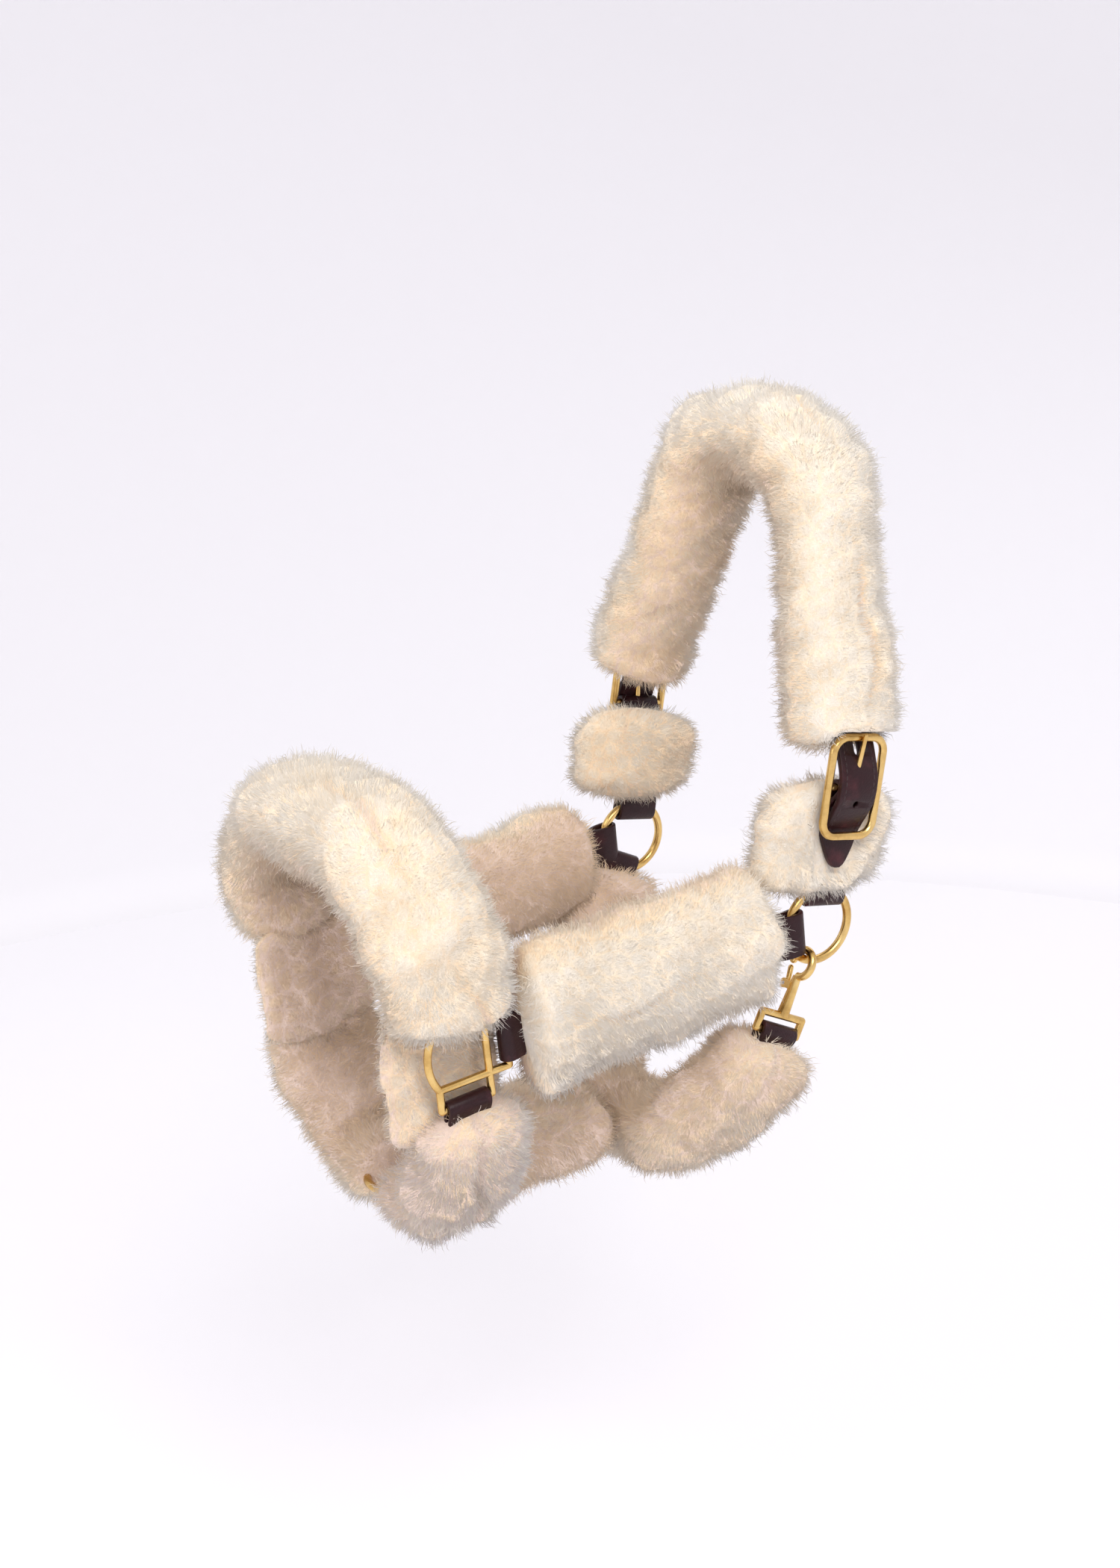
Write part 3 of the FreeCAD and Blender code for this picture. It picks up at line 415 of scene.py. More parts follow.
def speckled_material(name, scale, detail, dark, light, strength, distance, settings):
    """One noise that gives both the colour, from dark to light, and the relief."""
    material, nodes, links, shader = new_material(name, settings)
    speckle = noise(nodes, links, Scale=scale, Detail=detail).outputs["Fac"]
    links.new(ramp(nodes, links, speckle, [(0.35, dark), (0.7, light)]), shader.inputs["Base Color"])
    links.new(bump(nodes, links, speckle, strength, distance), shader.inputs["Normal"])
    return material


def wool_material():
    """The sleeve under its strands: creamy, yellower in the clefts, partly its own roots and partly painted shade,
    with painted shade as yellower and greyer wool.
    """
    material, nodes, links, shader = new_material("sheepskin_pile", {
        "Roughness": 0.95, "Specular IOR Level": 0.1, "Sheen Weight": 0.25, "Sheen Roughness": 0.6})
    depth = add(nodes, "ShaderNodeAttribute", attribute_name="depth")
    soft = noise(nodes, links, Scale=60.0, Detail=5.0, Roughness=0.6)
    fine = noise(nodes, links, Scale=650.0, Detail=5.0, Roughness=0.7, Distortion=0.8)
    blend = add(nodes, "ShaderNodeMath", operation="MULTIPLY_ADD")
    blend.inputs[1].default_value = 0.45
    links.new(soft.outputs["Fac"], blend.inputs[0])
    links.new(depth.outputs["Fac"], blend.inputs[2])
    # The ramp goes from cream to deep yellow for the clefts and for painted shade, and ends in the painted grey
    # shade.
    links.new(ramp(nodes, links, blend.outputs["Value"],
                   [(0.15, (0.95, 0.88, 0.77)), (0.42, (0.94, 0.82, 0.65)), (0.72, (0.94, 0.73, 0.50)),
                    (0.98, (0.82, 0.65, 0.55))]), shader.inputs["Base Color"])
    links.new(bump(nodes, links, fine.outputs["Fac"], 0.7, 0.0012), shader.inputs["Normal"])
    return material


def strand_material(name, colour):
    """Wool strands: one even colour each, so that thousands of them export as they are."""
    return new_material(name, {"Base Color": (*colour, 1.0), "Roughness": 0.9, "Specular IOR Level": 0.12,
                               "Sheen Weight": 0.3, "Sheen Roughness": 0.5})[0]


LEATHER = leather_material("bridle_leather", (0.020, 0.0055, 0.007), (0.060, 0.015, 0.019), 0.36)
LEATHER_WORN = leather_material("worn_leather", (0.020, 0.009, 0.010), (0.12, 0.055, 0.045), 0.5)
BRASS = brass_material()
STEEL = speckled_material("spring_steel", 600.0, 4.0, (0.42, 0.42, 0.44), (0.68, 0.68, 0.7), 0.2, 0.0002,
                          {"Metallic": 1.0, "Roughness": 0.3})
THREAD = speckled_material("dark_thread", 1500.0, 2.0, (0.022, 0.012, 0.013), (0.075, 0.045, 0.046), 0.4, 0.0003,
                           {"Roughness": 0.7})
WOOL = wool_material()
# White and cream are the wool's own colours; straw, warm and deep are picked mostly where shade is painted, and the
# last one is painted grey shade.
STRANDS = [strand_material("wool_" + name, colour) for name, colour in (
    ("white", (0.96, 0.90, 0.81)), ("cream", (0.96, 0.87, 0.75)), ("straw", (0.95, 0.83, 0.67)),
    ("warm", (0.94, 0.77, 0.58)), ("deep", (0.91, 0.69, 0.48)), ("dusk", (0.83, 0.71, 0.65)))]


# ---------------------------------------------------------------- leather

EDGE_RADIUS = 0.75
STRAP_STEP = 1.3
STRAP_THICK = 5.0           # two plies and the gap between them
HALF_GAP = 0.02
FOLD_CLEARANCE = 0.4
NARROW_FROM, NARROW_OVER = 6.0, 14.0        # a strap's end is narrowed this near its bar, and widens over this
STITCH_LENGTH, STITCH_RADIUS = 2.7, 0.42
STITCH_PITCH, STITCH_INSET = 3.6, 3.2
STITCH_RINGS, STITCH_SIDES = 4, 6
CROWN_THICK = 3.6
TAPER_LENGTH, TIP_SHARE = 19.0, 0.16        # the billet's point
HOLE_FROM, HOLE_TO, HOLE_RADIUS = 88.0, 127.0, 2.1
SPARE_HOLES = (75.0, 139.0)
SLOT_FROM, SLOT_TO, SLOT_RADIUS, SLOT_STRETCH = (98.0, 105.0), (112.0, 110.5), 2.5, 6.0
PEG_SIDES = 20


def section(width, thickness, corner):
    """A strap's cross-section as (sideways, outward) points, with rounded edges."""
    w, t = width / 2 - corner, thickness / 2 - corner
    out = []
    for cw, ct, start in ((w, t, 0), (-w, t, 90), (-w, -t, 180), (w, -t, 270)):
        for k in range(4):
            a = math.radians(start + 30 * k)
            out.append((cw + corner * math.cos(a), ct + corner * math.sin(a)))
    return np.array(out)


def sweep(name, plane, points, normals, widths, thickness, material, closed, seed):
    """A leather band along points in a plane, as wide as the plane is deep."""
    rows = len(points)
    shape = section(2.0, thickness, EDGE_RADIUS)
    edge = np.sign(shape[:, 0])
    outward = plane.direction(normals)
    half = widths[:, None] / 2 * edge[None, :] + (edge * (np.abs(shape[:, 0]) - 1.0))[None, :]
    verts = plane.at(points)[:, None, :] + half[..., None] * plane.across
    verts = (verts + shape[None, :, 1, None] * outward[:, None, :]).reshape(-1, 3)
    ripple = waves(verts, 9.0, seed) * 0.06 + waves(verts, 35.0, seed + 1) * 0.12
    verts = verts + np.repeat(outward, len(shape), axis=0) * ripple[:, None]
    faces = [grid_faces(rows, len(shape), close_rows=closed)] + ([] if closed else end_faces(rows, len(shape)))
    if plane.side < 0:
        faces = [f[:, ::-1] for f in faces]
    return make_mesh(name, verts, faces, [material])


class Fold:
    """The loop in a strap's end, round a bar or a ring."""

    def __init__(self, bar_radius, ring_radius=None, reach=12.0):
        self.half = bar_radius + FOLD_CLEARANCE
        self.length = 0.0
        if ring_radius:
            edge = math.sqrt(ring_radius ** 2 - (STRAP_WIDTH / 2) ** 2)
            self.length = ring_radius - edge + 1.5 * bar_radius * (ring_radius / edge - 1)
        self.reach = reach

    def points(self, bar, along, lift):
        """The ply's middle line, from one side of the strap round the bar to the other."""
        side = np.array([-along[1], along[0]])
        out = self.half + PLY / 2
        far = bar - along * self.length
        root = bar + along * self.reach

        def spread(t, sign):
            ease = t * t * (3 - 2 * t)
            return root + (bar - root) * t + sign * side * (lift + (out - lift) * ease)
        line = [spread(t, 1.0) for t in (0.0, 0.25, 0.5, 0.75, 1.0)]
        line += [far + side * out * math.cos(a) - along * out * math.sin(a) for a in np.linspace(0, math.pi, 13)]
        return line + [spread(t, -1.0) for t in (1.0, 0.75, 0.5, 0.25, 0.0)]


def resample_loop(points):
    """Even points round a closed line, slightly smoothed, and its outward normals."""
    points = np.array(points)
    ring, along = measured(np.vstack([points, points[:1]]))
    s = np.linspace(0, along[-1], int(along[-1] / STRAP_STEP), endpoint=False)
    out = np.stack([np.interp(s, along, ring[:, k]) for k in (0, 1)], 1)
    for _ in range(2):
        out = 0.5 * out + 0.25 * (np.roll(out, 1, 0) + np.roll(out, -1, 0))
    tangent = np.roll(out, -1, 0) - np.roll(out, 1, 0)
    tangent /= np.linalg.norm(tangent, axis=1)[:, None]
    return out, np.stack([tangent[:, 1], -tangent[:, 0]], 1)


def folded_strap(name, node, plane, route, radii, start_fold, end_fold, seed, narrow=(0.0, 0.0),
                 material=LEATHER):
    """A two-ply strap: one band of leather that runs round both fittings and is stitched to itself.

    Gives back the path between the two folds, for the stitches.
    """
    points = [np.array(p, float) for p in route]
    ends = []
    inner = list(points)
    for index, neighbour, fold in ((0, 1, start_fold), (-1, -2, end_fold)):
        along = unit(points[neighbour] - points[index])
        ends.append((points[index], along))
        inner[index] = points[index] + along * fold.reach
    path = Path(inner, radii)
    lift = PLY / 2 + HALF_GAP
    left = path.points + path.normal * lift
    right = path.points - path.normal * lift
    start_loop = start_fold.points(*ends[0], lift)
    end_loop = end_fold.points(*ends[1], lift)
    loop = list(left[1:-1]) + end_loop[::-1] + list(right[::-1][1:-1]) + start_loop[::-1]
    outline, normals = resample_loop(loop)
    widths = np.full(len(outline), STRAP_WIDTH)
    for (bar, _), less, fold in zip(ends, narrow, (start_fold, end_fold)):
        away = np.linalg.norm(outline - bar, axis=1)
        widths -= less * np.clip(1.0 - (away - NARROW_FROM) / NARROW_OVER, 0.0, 1.0)
    piece = sweep(name, plane, outline, normals, widths, PLY, material, True, seed)
    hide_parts(node)
    return path


def stitch_mesh(name, places, directions, outwards):
    """Stitches as small plump seeds of thread, half sunk in the leather."""
    rings, sides = STITCH_RINGS, STITCH_SIDES
    directions = directions / np.linalg.norm(directions, axis=1)[:, None]
    across = np.cross(directions, outwards)
    verts = []
    for k in range(rings + 1):
        t = k / rings
        swell = STITCH_RADIUS * math.sin(math.pi * min(max(t, 0.04), 0.96)) ** 0.55
        for j in range(sides):
            a = 2 * math.pi * j / sides
            verts.append(places + directions * (STITCH_LENGTH * (t - 0.5))
                         + (across * math.cos(a) + outwards * math.sin(a)) * swell)
    verts = np.stack(verts, 1).reshape(-1, 3)
    caps = np.vstack(end_faces(rings + 1, sides))
    shift = (np.arange(len(places)) * (rings + 1) * sides)[:, None, None]
    faces = [(grid_faces(rings + 1, sides)[None] + shift).reshape(-1, 4), (caps[None] + shift).reshape(-1, sides)]
    make_mesh(name, verts, faces, [THREAD])


def edge_stitches(name, plane, path, spans, thickness=STRAP_THICK, cross=()):
    """Rows along both edges on both faces over the given spans, and rows across at the given places."""
    places, directions, outwards = [], [], []
    row = STRAP_WIDTH / 2 - STITCH_INSET
    for low, high in spans:
        points, tangent, normal = path.sample(np.arange(low, high, STITCH_PITCH))
        for face in (1, -1):
            for edge in (1, -1):
                places.append(plane.at(points + normal * face * thickness / 2, edge * row))
                directions.append(plane.direction(tangent))
                outwards.append(plane.direction(normal) * face)
    for place in cross:
        offsets = np.arange(-row, row + 0.1, STITCH_PITCH * 0.92)
        points, tangent, normal = path.sample(np.full(len(offsets), place))
        for face in (1, -1):
            places.append(plane.at(points + normal * face * thickness / 2, offsets))
            directions.append(np.tile(plane.across, (len(offsets), 1)))
            outwards.append(plane.direction(normal) * face)
    stitch_mesh(name, np.vstack(places), np.vstack(directions), np.vstack(outwards))


RING_FOLD = Fold(2.5, RING_R)
CHIN_FOLD = Fold(2.5, CHIN_RING_R, reach=8.0)
BAR_FOLD = Fold(2.2)
BUCKLE_FOLD = Fold(2.0)
SNAP_FOLD = Fold(2.3)
LASH_FOLD = Fold(2.4, reach=16.0)       # the gullet strap's loop round the throat lash


def apply_boolean(piece, tools):
    """Cut the tools out of the piece and leave no modifier behind."""
    for tool in tools:
        modifier = piece.modifiers.new("cut", "BOOLEAN")
        modifier.object = tool
        modifier.solver = "EXACT"
    graph = bpy.context.evaluated_depsgraph_get()
    mesh = bpy.data.meshes.new_from_object(piece.evaluated_get(graph))
    piece.modifiers.clear()
    piece.data = mesh
    for tool in tools:
        bpy.data.objects.remove(tool, do_unlink=True)


def peg(plane, start, end, radius, stretch=0.0):
    """A cutting peg between two (u, v) points in a plane, drawn out sideways by stretch."""
    start, end = plane.at([start])[0], plane.at([end])[0]
    along = unit(end - start)
    side = unit(np.cross(along, plane.n))
    other = np.cross(along, side)
    verts = []
    for place in (start, end):
        for k in range(PEG_SIDES):
            a = 2 * math.pi * k / PEG_SIDES
            shift = side * stretch / 2 * (1 if math.cos(a) > 0 else -1)
            verts.append(place + side * radius * math.cos(a) + other * radius * math.sin(a) + shift)
    faces = [grid_faces(2, PEG_SIDES)] + end_faces(2, PEG_SIDES)
    return make_mesh("peg", np.array(verts), faces, [LEATHER], body=None)


def crown_strap():
    path = Path(crown_route, crown_radii, step=1.5)
    from_end = np.clip(np.minimum(path.s, path.length - path.s) / TAPER_LENGTH, 0, 1)
    widths = STRAP_WIDTH * (TIP_SHARE + (1.0 - TIP_SHARE) * from_end ** 0.62)
    piece = sweep("crown_leather", crown_plane, path.points, path.normal, widths, CROWN_THICK, LEATHER, False, 31)
    tools = []
    for side in SIDES:
        plane = crown_plane.on(side)
        tools += [peg(plane, (HOLE_FROM, height), (HOLE_TO, height), HOLE_RADIUS) for height in SPARE_HOLES]
        tools.append(peg(plane, SLOT_FROM, SLOT_TO, SLOT_RADIUS, SLOT_STRETCH))
    apply_boolean(piece, tools)
    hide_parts("crown_strap")
    for side in SIDES:
        edge_stitches(side + "_billet_stitches", crown_plane.on(side), path, [(17.0, 100.0)], CROWN_THICK)


def leather():
    """Each strap with its stitches. Inside the sleeves there are none, because nothing shows there."""
    crown_strap()
    folded_strap("nose_leather", "nose_strap", nose_plane, nose_route, nose_radii, BAR_FOLD, BAR_FOLD, 41,
                 material=LEATHER_WORN)
    path = folded_strap("throat_leather", "throat_strap", throat_plane, throat_route, throat_radii, RING_FOLD,
                        SNAP_FOLD, 43, narrow=(5.0, 0.0))
    edge_stitches("throat_stitches", throat_plane, path, [(0.0, 14.0), (path.length - 14.0, path.length)])
    folded_strap("gullet_leather", "gullet_strap", gullet_plane, gullet_route, [30.0], CHIN_FOLD, LASH_FOLD, 47,
                 narrow=(6.0, 0.0))
    for side in SIDES:
        crown, cheek, chin = (plane.on(side) for plane in (crown_plane, cheek_plane, nose_plane))
        path = folded_strap(side + "_upper_leather", side + "_upper_cheek_strap", crown, upper_route, [25.0],
                            RING_FOLD, BUCKLE_FOLD, 51)
        edge_stitches(side + "_upper_stitches", crown, path, [(0.0, path.length)], cross=(1.0,))
        path = folded_strap(side + "_cheek_leather", side + "_cheek_strap", cheek, cheek_route, [], RING_FOLD,
                            BAR_FOLD, 53)
        edge_stitches(side + "_cheek_stitches", cheek, path, [(0.0, 26.0), (path.length - 26.0, path.length)],
                      cross=(1.0, path.length - 1.0))
        path = folded_strap(side + "_chin_leather", side + "_chin_strap", chin, chin_route, chin_radii, BAR_FOLD,
                            CHIN_FOLD, 59)
        edge_stitches(side + "_chin_stitches", chin, path, [(0.0, 16.0)])


# ---------------------------------------------------------------- sheepskin

CLUMP_PITCH = 8.5
CLUMP_HEIGHT_SPREAD, CLUMP_LEAN_SPREAD = 0.45, 0.40
CLUMP_REACH = (4.6, 7.2)
DROOP = (0.0, 0.0, -0.18)
BODY_DEPTH = 5.8            # the body lies this far under the CAD oval, and the strands fill the rest
BODY_STEP, BODY_COLUMNS = 1.9, 104
LUMPS = ((62.0, 1.7, 0), (29.0, 1.1, 3), (14.0, 0.4, 5))        # wavelength, height, added to the seed
CLEFT_DEPTH, GROOVE_DEPTH, GROOVE_WIDTH = 0.4, 3.0, 3.6
STRAND_LAYERS = (("wool", 2.0, (5.2, 8.8), 0.2, True),          # name, pitch, lengths, share of strays, bent
                 ("fluff", 1.35, (3.4, 6.2), 0.0, False))
STRAY_STRETCH = 1.4
STRAND_RADII = (0.13, 0.21)
ROOT_SINK = 1.0
FACES_PER_PIECE = 190000
SHADES = 5                  # the strand colours from white to deep
PAINTED_GREY_SHADE_INDEX = 5                    # the strand colour of painted grey shade, mostly under the near chin


class Sleeve:
    """A wool tube round a strap: an oval body with lumps and clefts, and strands that gather into clumps.

    outer is -1 where the plane's path has the outside on its other hand, pile is the share of the full
    length of wool, and three settings paint shade into the wool's colour: how much yellower all over and on
    the inner side, and how much greyer.
    """

    def __init__(self, name, node, plane, route, radii, half_width, half_thick, shift=0.0, seed=1,
                 ends=(15.0, 15.0), parting=1.0, blocks=(), warmth=0.0, inner=0.2, dusk=0.0, outer=1, pile=1.0,
                 depth=BODY_DEPTH):
        self.name, self.node, self.plane, self.seed = name, node, plane, seed
        self.path = Path(route, radii, step=1.0)
        self.a, self.b, self.shift, self.ends, self.depth = half_width, half_thick, shift, ends, depth
        self.parting, self.blocks, self.warmth, self.inner = parting, blocks, warmth, inner
        self.dusk, self.outer, self.pile = dusk, outer, pile

    def surface(self, s, theta, depth):
        """Points and outward normals at depth mm under the oval, before lumps. The ends are rounded."""
        length = self.path.length
        start_gap, end_gap = s / self.ends[0], (length - s) / self.ends[1]
        gap = np.clip(np.minimum(start_gap, end_gap), 0.0, 1.0)
        profile = np.sqrt(np.clip(1.0 - 0.96 * (1.0 - gap) ** 2.4, 0.0, 1.0))
        points, tangent, normal = self.path.sample(s)
        centre = self.plane.at(points, self.shift)
        out = self.plane.direction(normal)
        tangent = self.plane.direction(tangent)
        a, b = (self.a - depth) * profile, (self.b - depth) * profile
        c, d = np.cos(theta), np.sin(theta)
        place = centre + (a * c)[:, None] * self.plane.across + (b * d)[:, None] * out
        face = unit_rows((c / self.a)[:, None] * self.plane.across + (d / self.b)[:, None] * out)
        lean = np.where(start_gap < end_gap, -1.0, 1.0) * (1.0 - gap) ** 1.3
        return place, unit_rows(face + tangent * lean[:, None] * 1.3)

    def scatter(self, pitch):
        """Even, jittered (s, theta) places over the whole sleeve."""
        t = np.linspace(0, 2 * math.pi, 181)
        arc = np.r_[0, np.cumsum(np.hypot(np.diff(self.a * np.cos(t)), np.diff(self.b * np.sin(t))))]
        rows = max(2, int(self.path.length / pitch))
        columns = int(arc[-1] / pitch)
        s, k = np.meshgrid(np.arange(rows), np.arange(columns), indexing="ij")
        s = (s.ravel() + 0.5 + self.rng.uniform(-0.5, 0.5, s.size)) / rows * self.path.length
        turn = (k.ravel() + self.rng.uniform(-0.5, 0.5, s.size)) / columns
        return s, np.interp(np.mod(turn, 1.0) * arc[-1], arc, t)

    def parting_gap(self, s, theta):
        """Distance in mm from the wandering parting on the outer face, and how open it is there."""
        wander = self.outer * math.pi / 2
        wander = wander + 0.16 * np.sin(s / 31.0 + self.seed) + 0.07 * np.sin(s / 9.0 + 2 * self.seed)
        gap = np.abs(np.angle(np.exp(1j * (theta - wander)))) * self.a
        opened = np.clip(0.55 + 0.6 * np.sin(s / 23.0 + 1.7 * self.seed), 0.0, 1.0) * self.parting
        return gap, opened

    def relief(self, place, s, theta):
        """The height in mm of lumps, clump tops and clefts, how deep in a cleft from 0 to 1, and the clump."""
        near, second = np.empty(len(place)), np.empty(len(place))
        owner, other = np.empty(len(place), dtype=np.int64), np.empty(len(place), dtype=np.int64)
        for i, p in enumerate(place):
            (_, owner[i], near[i]), (_, other[i], second[i]) = self.clumps.find_n(p, 2)
        cleft = np.clip(1.0 - (second - near) / 4.0, 0.0, 1.0) ** 1.5
        mix = 0.5 * np.clip(1.0 - (second - near) / 6.0, 0.0, 1.0)
        clump = self.clump_height[owner] * (1.0 - mix) + self.clump_height[other] * mix
        gap, opened = self.parting_gap(s, theta)
        groove = np.exp(-(gap / GROOVE_WIDTH) ** 2) * opened
        lumps = sum(waves(place, wavelength, self.seed + more) * tall for wavelength, tall, more in LUMPS)
        height = self.pile * (lumps + clump - CLEFT_DEPTH * cleft - GROOVE_DEPTH * groove)
        return height, np.clip(0.5 * cleft + groove, 0, 1), owner

    def warm(self, theta):
        """Painted shade as yellower wool, from 0 to 1: the sleeve's own amount, and more on the side that lies
        against the horse.
        """
        return self.warmth + self.inner * np.clip(0.5 - 0.8 * self.outer * np.sin(theta), 0.0, 1.0)

    def press(self, points):
        """Wool held down under a buckle or a billet, by blocks that are described where they are set."""
        plane = self.plane
        for out, low, high, half, slope in self.blocks:
            offset = (points - plane.origin * plane.flip) * plane.flip
            u, v, n = offset @ plane.u, offset @ plane.v, np.abs(offset @ plane.n)
            past = np.maximum.reduce([low - v, v - high, n - half, np.zeros(len(u))])
            cap = out + slope * past
            held = np.where(np.abs(u) > cap, np.sign(u) * (cap + 0.04 * (np.abs(u) - cap)), u)
            points = points + (held - u)[:, None] * plane.u * plane.flip
        return points

    def grow(self):
        self.rng = np.random.default_rng(self.seed * 101 + SEED)
        s, theta = self.scatter(CLUMP_PITCH)
        place, face = self.surface(s, theta, self.depth)
        self.clumps = KDTree(len(place))
        for i, p in enumerate(place):
            self.clumps.insert(p, i)
        self.clumps.balance()
        self.clump_height = self.rng.normal(0.0, CLUMP_HEIGHT_SPREAD, len(place))
        lean = self.rng.normal(0.0, CLUMP_LEAN_SPREAD, (len(place), 3))
        reach = self.rng.uniform(*CLUMP_REACH, len(place)) * self.pile + self.clump_height
        self.clump_tip = place + unit_rows(face + lean + np.array(DROOP)) * reach[:, None]
        self.body()
        for layer in STRAND_LAYERS:
            self.strands(*layer)

    def body(self):
        rows, columns = int(self.path.length / BODY_STEP), BODY_COLUMNS
        grid_s, grid_t = np.meshgrid(np.linspace(0, self.path.length, rows),
                                     np.arange(columns) * 2 * math.pi / columns, indexing="ij")
        grid_s, grid_t = grid_s.ravel(), grid_t.ravel()
        place, face = self.surface(grid_s, grid_t, self.depth)
        height, depth, _ = self.relief(place, grid_s, grid_t)
        fade = np.clip(np.minimum(grid_s, self.path.length - grid_s) / 6.0, 0.15, 1)
        place = self.press(place + face * (height * fade)[:, None])
        faces = [grid_faces(rows, columns)] + end_faces(rows, columns)
        if self.plane.side > 0:
            faces = [f[:, ::-1] for f in faces]
        piece = make_mesh(self.name + "_sheepskin", place, faces, [WOOL])
        # The depth attribute is the colour tone: yellower in clefts, partly the wool's own roots and partly painted
        # shade, with the painted shade of the sleeve and its inner side and the painted grey shade added.
        attribute = piece.data.attributes.new("depth", "FLOAT", "POINT")
        cleft_and_painted_shade = np.clip(0.6 * depth + self.warm(grid_t) + 0.7 * self.dusk, 0, 1)
        attribute.data.foreach_set("value", cleft_and_painted_shade.astype(np.float32))
        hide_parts(self.node)

    def strands(self, layer, pitch, lengths, strays, bent):
        s, theta = self.scatter(pitch)
        root, face = self.surface(s, theta, self.depth)
        height, depth, owner = self.relief(root, s, theta)
        root = root + face * (height - ROOT_SINK)[:, None]
        count = len(root)
        gap, opened = self.parting_gap(s, theta)
        length = self.rng.uniform(*lengths, count) * self.pile
        length = length * (1.0 - 0.3 * np.exp(-(gap / 4.0) ** 2) * opened)
        stray = self.rng.random(count) < strays
        length = np.where(stray, length * STRAY_STRETCH, length)
        free_tip = root + unit_rows(face + self.rng.normal(0.0, 0.28, (count, 3))) * length[:, None]
        gather = np.where(stray, 0.15, self.rng.uniform(0.3, 0.7, count))[:, None]
        if not bent:
            gather = gather * 0.6
        tip = free_tip * (1 - gather) + (self.clump_tip[owner] + self.rng.normal(0, 0.9, (count, 3))) * gather
        middle = root + face * (length * 0.36)[:, None] + (tip - root) * 0.28 + self.rng.normal(0, 0.45, (count, 3))
        root, middle, tip = self.press(root), self.press(middle), self.press(tip)
        # The strand colour is picked by painted shade on the lower sleeves and inner sides, by the clefts, partly
        # own colour and partly painted shade, and by random tone; some strands get the painted grey shade.
        shade = self.warm(theta) * SHADES + depth * 1.2 + waves(root, 48.0, self.seed + 9) * 0.35 + 0.35
        shade = np.clip(np.round(shade + self.rng.normal(0, 0.4, count)), 0, SHADES - 1).astype(np.int32)
        shade = np.where(self.rng.random(count) < self.dusk, PAINTED_GREY_SHADE_INDEX, shade)
        make_strands(self.name + "_" + layer, root, middle if bent else None, tip, face, shade, self.rng)


def unit_rows(vectors):
    return vectors / np.linalg.norm(vectors, axis=1)[:, None]


def make_strands(name, root, middle, tip, face, shade, random):
    """Closed three-sided spikes, bent at their middle or straight, split into pieces of moderate size."""
    count = len(root)
    along = unit_rows(tip - root)
    side = unit_rows(np.cross(along, random.normal(size=(count, 3))))
    other = np.cross(along, side)
    thick = random.uniform(*STRAND_RADII, count)
    corners = [side * math.cos(a) + other * math.sin(a) for a in (2 * math.pi * k / 3 for k in range(3))]
    rings = [root + corner * thick[:, None] for corner in corners]
    if middle is not None:
        rings += [middle + corner * (thick * 0.8)[:, None] for corner in corners]
    verts = np.stack(rings + [tip], 1)
    last = len(rings)
    tris = np.array([[last - 3 + k, last - 3 + (k + 1) % 3, last] for k in range(3)] + [[2, 1, 0]])
    blocks = [tris] if middle is None else [grid_faces(2, 3), tris]
    per_strand = sum(len(block) * (block.shape[1] - 2) for block in blocks)     # in triangles
    parts = max(1, math.ceil(count * per_strand / FACES_PER_PIECE))
    for part, pick in enumerate(np.array_split(np.arange(count), parts)):
        shift = (np.arange(len(pick)) * (last + 1))[:, None, None]
        faces = [(block[None] + shift).reshape(-1, block.shape[1]) for block in blocks]
        piece = make_mesh(name + "_" + str(part + 1), verts[pick].reshape(-1, 3), faces, STRANDS)
        tint = np.concatenate([np.repeat(shade[pick], len(block)) for block in blocks])
        piece.data.polygons.foreach_set("material_index", tint.astype(np.int32))
        soft = unit_rows(face[pick] * 0.88 + along[pick] * 0.12)
        piece.data.normals_split_custom_set_from_vertices(np.repeat(soft, last + 1, axis=0))
        piece.visible_shadow = False


# (u of the cap, v from, v to, half width, slope of the cap beside it)
UNDER_BUCKLE = (97.3, buckle_low - 6.0, BUCKLE_HEIGHT + 5.0, 21.6, 2.4)
UNDER_TAIL = (97.6, TAIL_TIP[1] - 4.0, buckle_low, 14.5, 2.0)
BEHIND_BUCKLE = (92.8, buckle_low, buckle_high + 1.3, 20.5, 5.0)
CROWN_START_BELOW = 6.0         # the crown sleeve starts this far below the buckle's top


def sleeves():
    arm = np.array([ARCH_HALF - BILLET_IN, CROWN_HEIGHT - buckle_high])
    below = CROWN_START_BELOW
    start = (BILLET_IN - arm[0] / arm[1] * below, buckle_high - below)
    # Each sleeve's settings for yellower and greyer wool are painted shade: more on the lower sleeves and on inner
    # sides.
    Sleeve("crown", "crown_sleeve", crown_plane, mirror_route([start, (ARCH_HALF, CROWN_HEIGHT)]),
           [ARCH_R, ARCH_R], 37.0, 31.5, shift=9.0, seed=3, ends=(9.0, 9.0), blocks=[BEHIND_BUCKLE], inner=0.5,
           outer=-1).grow()
    nose = [(SQUARE_HALF_SPAN, 18.0)] + nose_side[1:]
    Sleeve("nose", "nose_sleeve", leaning(22.0, 6.0), mirror_route(nose), nose_radii, 41.0, 29.5, shift=1.5,
           seed=5, warmth=0.12, inner=0.45, outer=-1).grow()
    throat = [(-93.8, 23.0)] + throat_route[1:-1] + [(92.4, 72.5)]
    Sleeve("throat", "throat_sleeve", throat_plane, throat, throat_radii, 38.0, 28.0, seed=11, warmth=0.42,
           inner=0.5, dusk=0.05).grow()
    gullet = [(38.0, -5.0), (gullet_route[1][0] + 6.0, -5.0)]
    Sleeve("gullet", "gullet_sleeve", gullet_plane, gullet, [], 38.0, 31.0, seed=13, warmth=0.5, inner=0.4,
           dusk=0.05).grow()
    for side in SIDES:
        side_sleeves(side)


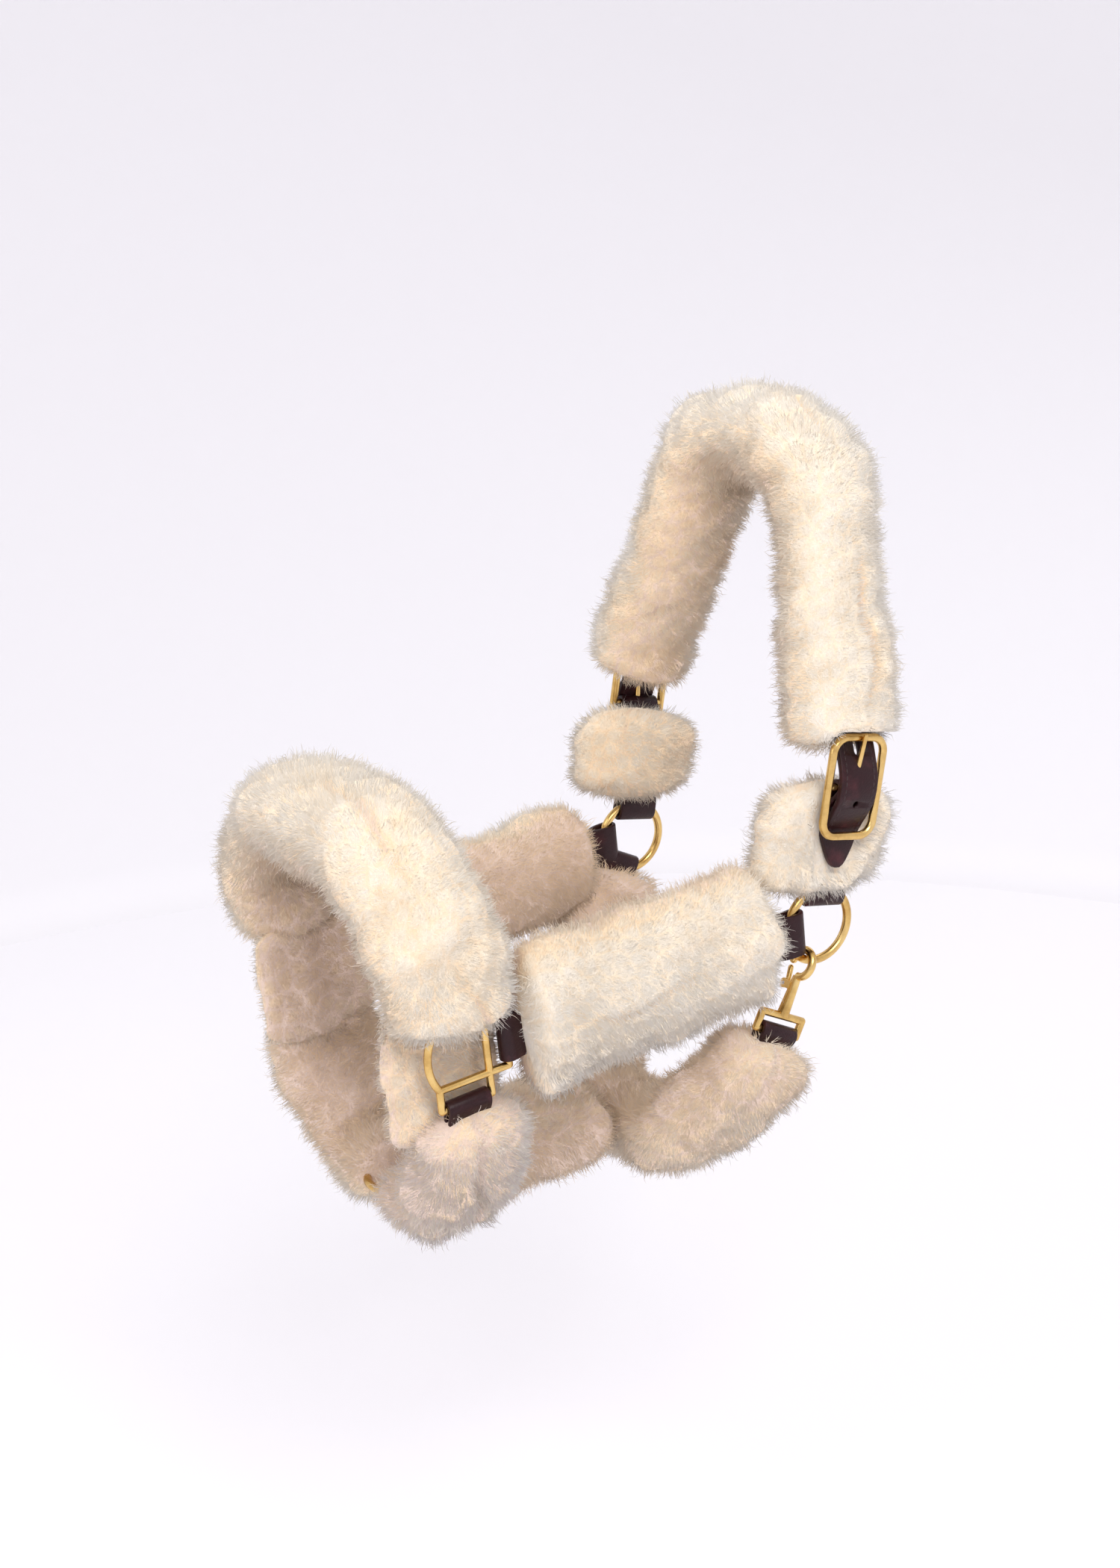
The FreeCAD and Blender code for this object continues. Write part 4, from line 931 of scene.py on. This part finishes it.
def side_sleeves(side):
    """The sleeves that come in pairs. The photograph shows each far one a little different from its near one."""
    far = side == "far"
    low = near_ring + NOSE_UP * (-1.5 if far else 8.0)
    high = near_square + NOSE_UP * (0.0 if far else 3.5)
    along = unit(high - low)
    cheek = [(37.5, 0.0), (float(np.linalg.norm(high - low)) - 37.0, 0.0)]
    # The inner and warmth settings paint shade as yellower wool, and the grey setting paints grey shade, most of it
    # on the near chin and pad.
    Sleeve(side + "_cheek", side + "_cheek_sleeve", Plane(low, along, np.cross(NOSE_UP, along)).on(side), cheek, [],
           38.5 if far else 46.0, 29.0, seed=17 + far, ends=(12.0, 10.0), parting=0.5, inner=0.85).grow()
    upper = [(86.0, 28.0), (89.0, 84.0)] if far else [(86.0, 17.0), (89.0, 83.0)]
    Sleeve(side + "_upper", side + "_upper_cheek_sleeve", crown_plane.on(side), upper, [], 46.0, 24.5,
           shift=12.0 if far else 4.0, seed=23 + far, ends=(17.0, 17.0), parting=0.0,
           blocks=[UNDER_BUCKLE, UNDER_TAIL], inner=0.3, outer=-1).grow()
    chin = [(87.4, -35.0)] + chin_route[1:-1] + [(3.0, -CHIN_DEPTH)]
    Sleeve(side + "_chin", side + "_chin_sleeve", leaning(-37.5, 6.0).on(side), chin, chin_radii, 38.5, 28.0,
           seed=29 + far, parting=1.0 if far else 2.4, warmth=0.15, inner=0.7, dusk=0.05 if far else 0.5).grow()
    pad = [(70.5, -46.0 if far else -54.0), (70.5, 30.0)]
    Sleeve(side + "_pad", side + "_square_pad", nose_plane.on(side), pad, [], 38.5, 11.5, shift=4.0,
           seed=37 + far, ends=(14.0, 10.0), parting=0.0, warmth=0.15, inner=0.5, dusk=0.0 if far else 0.25,
           outer=-1, pile=0.7, depth=3.6).grow()


# ---------------------------------------------------------------- brass and steel

METAL_WORDS = ("ring", "frame", "prong", "square", "hook", "gate")
STEEL_NODES = ("snap_gate_pin", "snap_gate_spring")


def fittings():
    """The fittings are the CAD nodes themselves, with a metal in place of their plain material."""
    for name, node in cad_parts.items():
        if name.endswith(("strap", "pad")) or not any(word in name for word in METAL_WORDS):
            continue
        material = STEEL if name in STEEL_NODES else BRASS
        for slot in node.material_slots:
            slot.material = material
        if not node.material_slots:
            node.data.materials.append(material)


make_camera()
make_stage()
leather()
sleeves()
fittings()
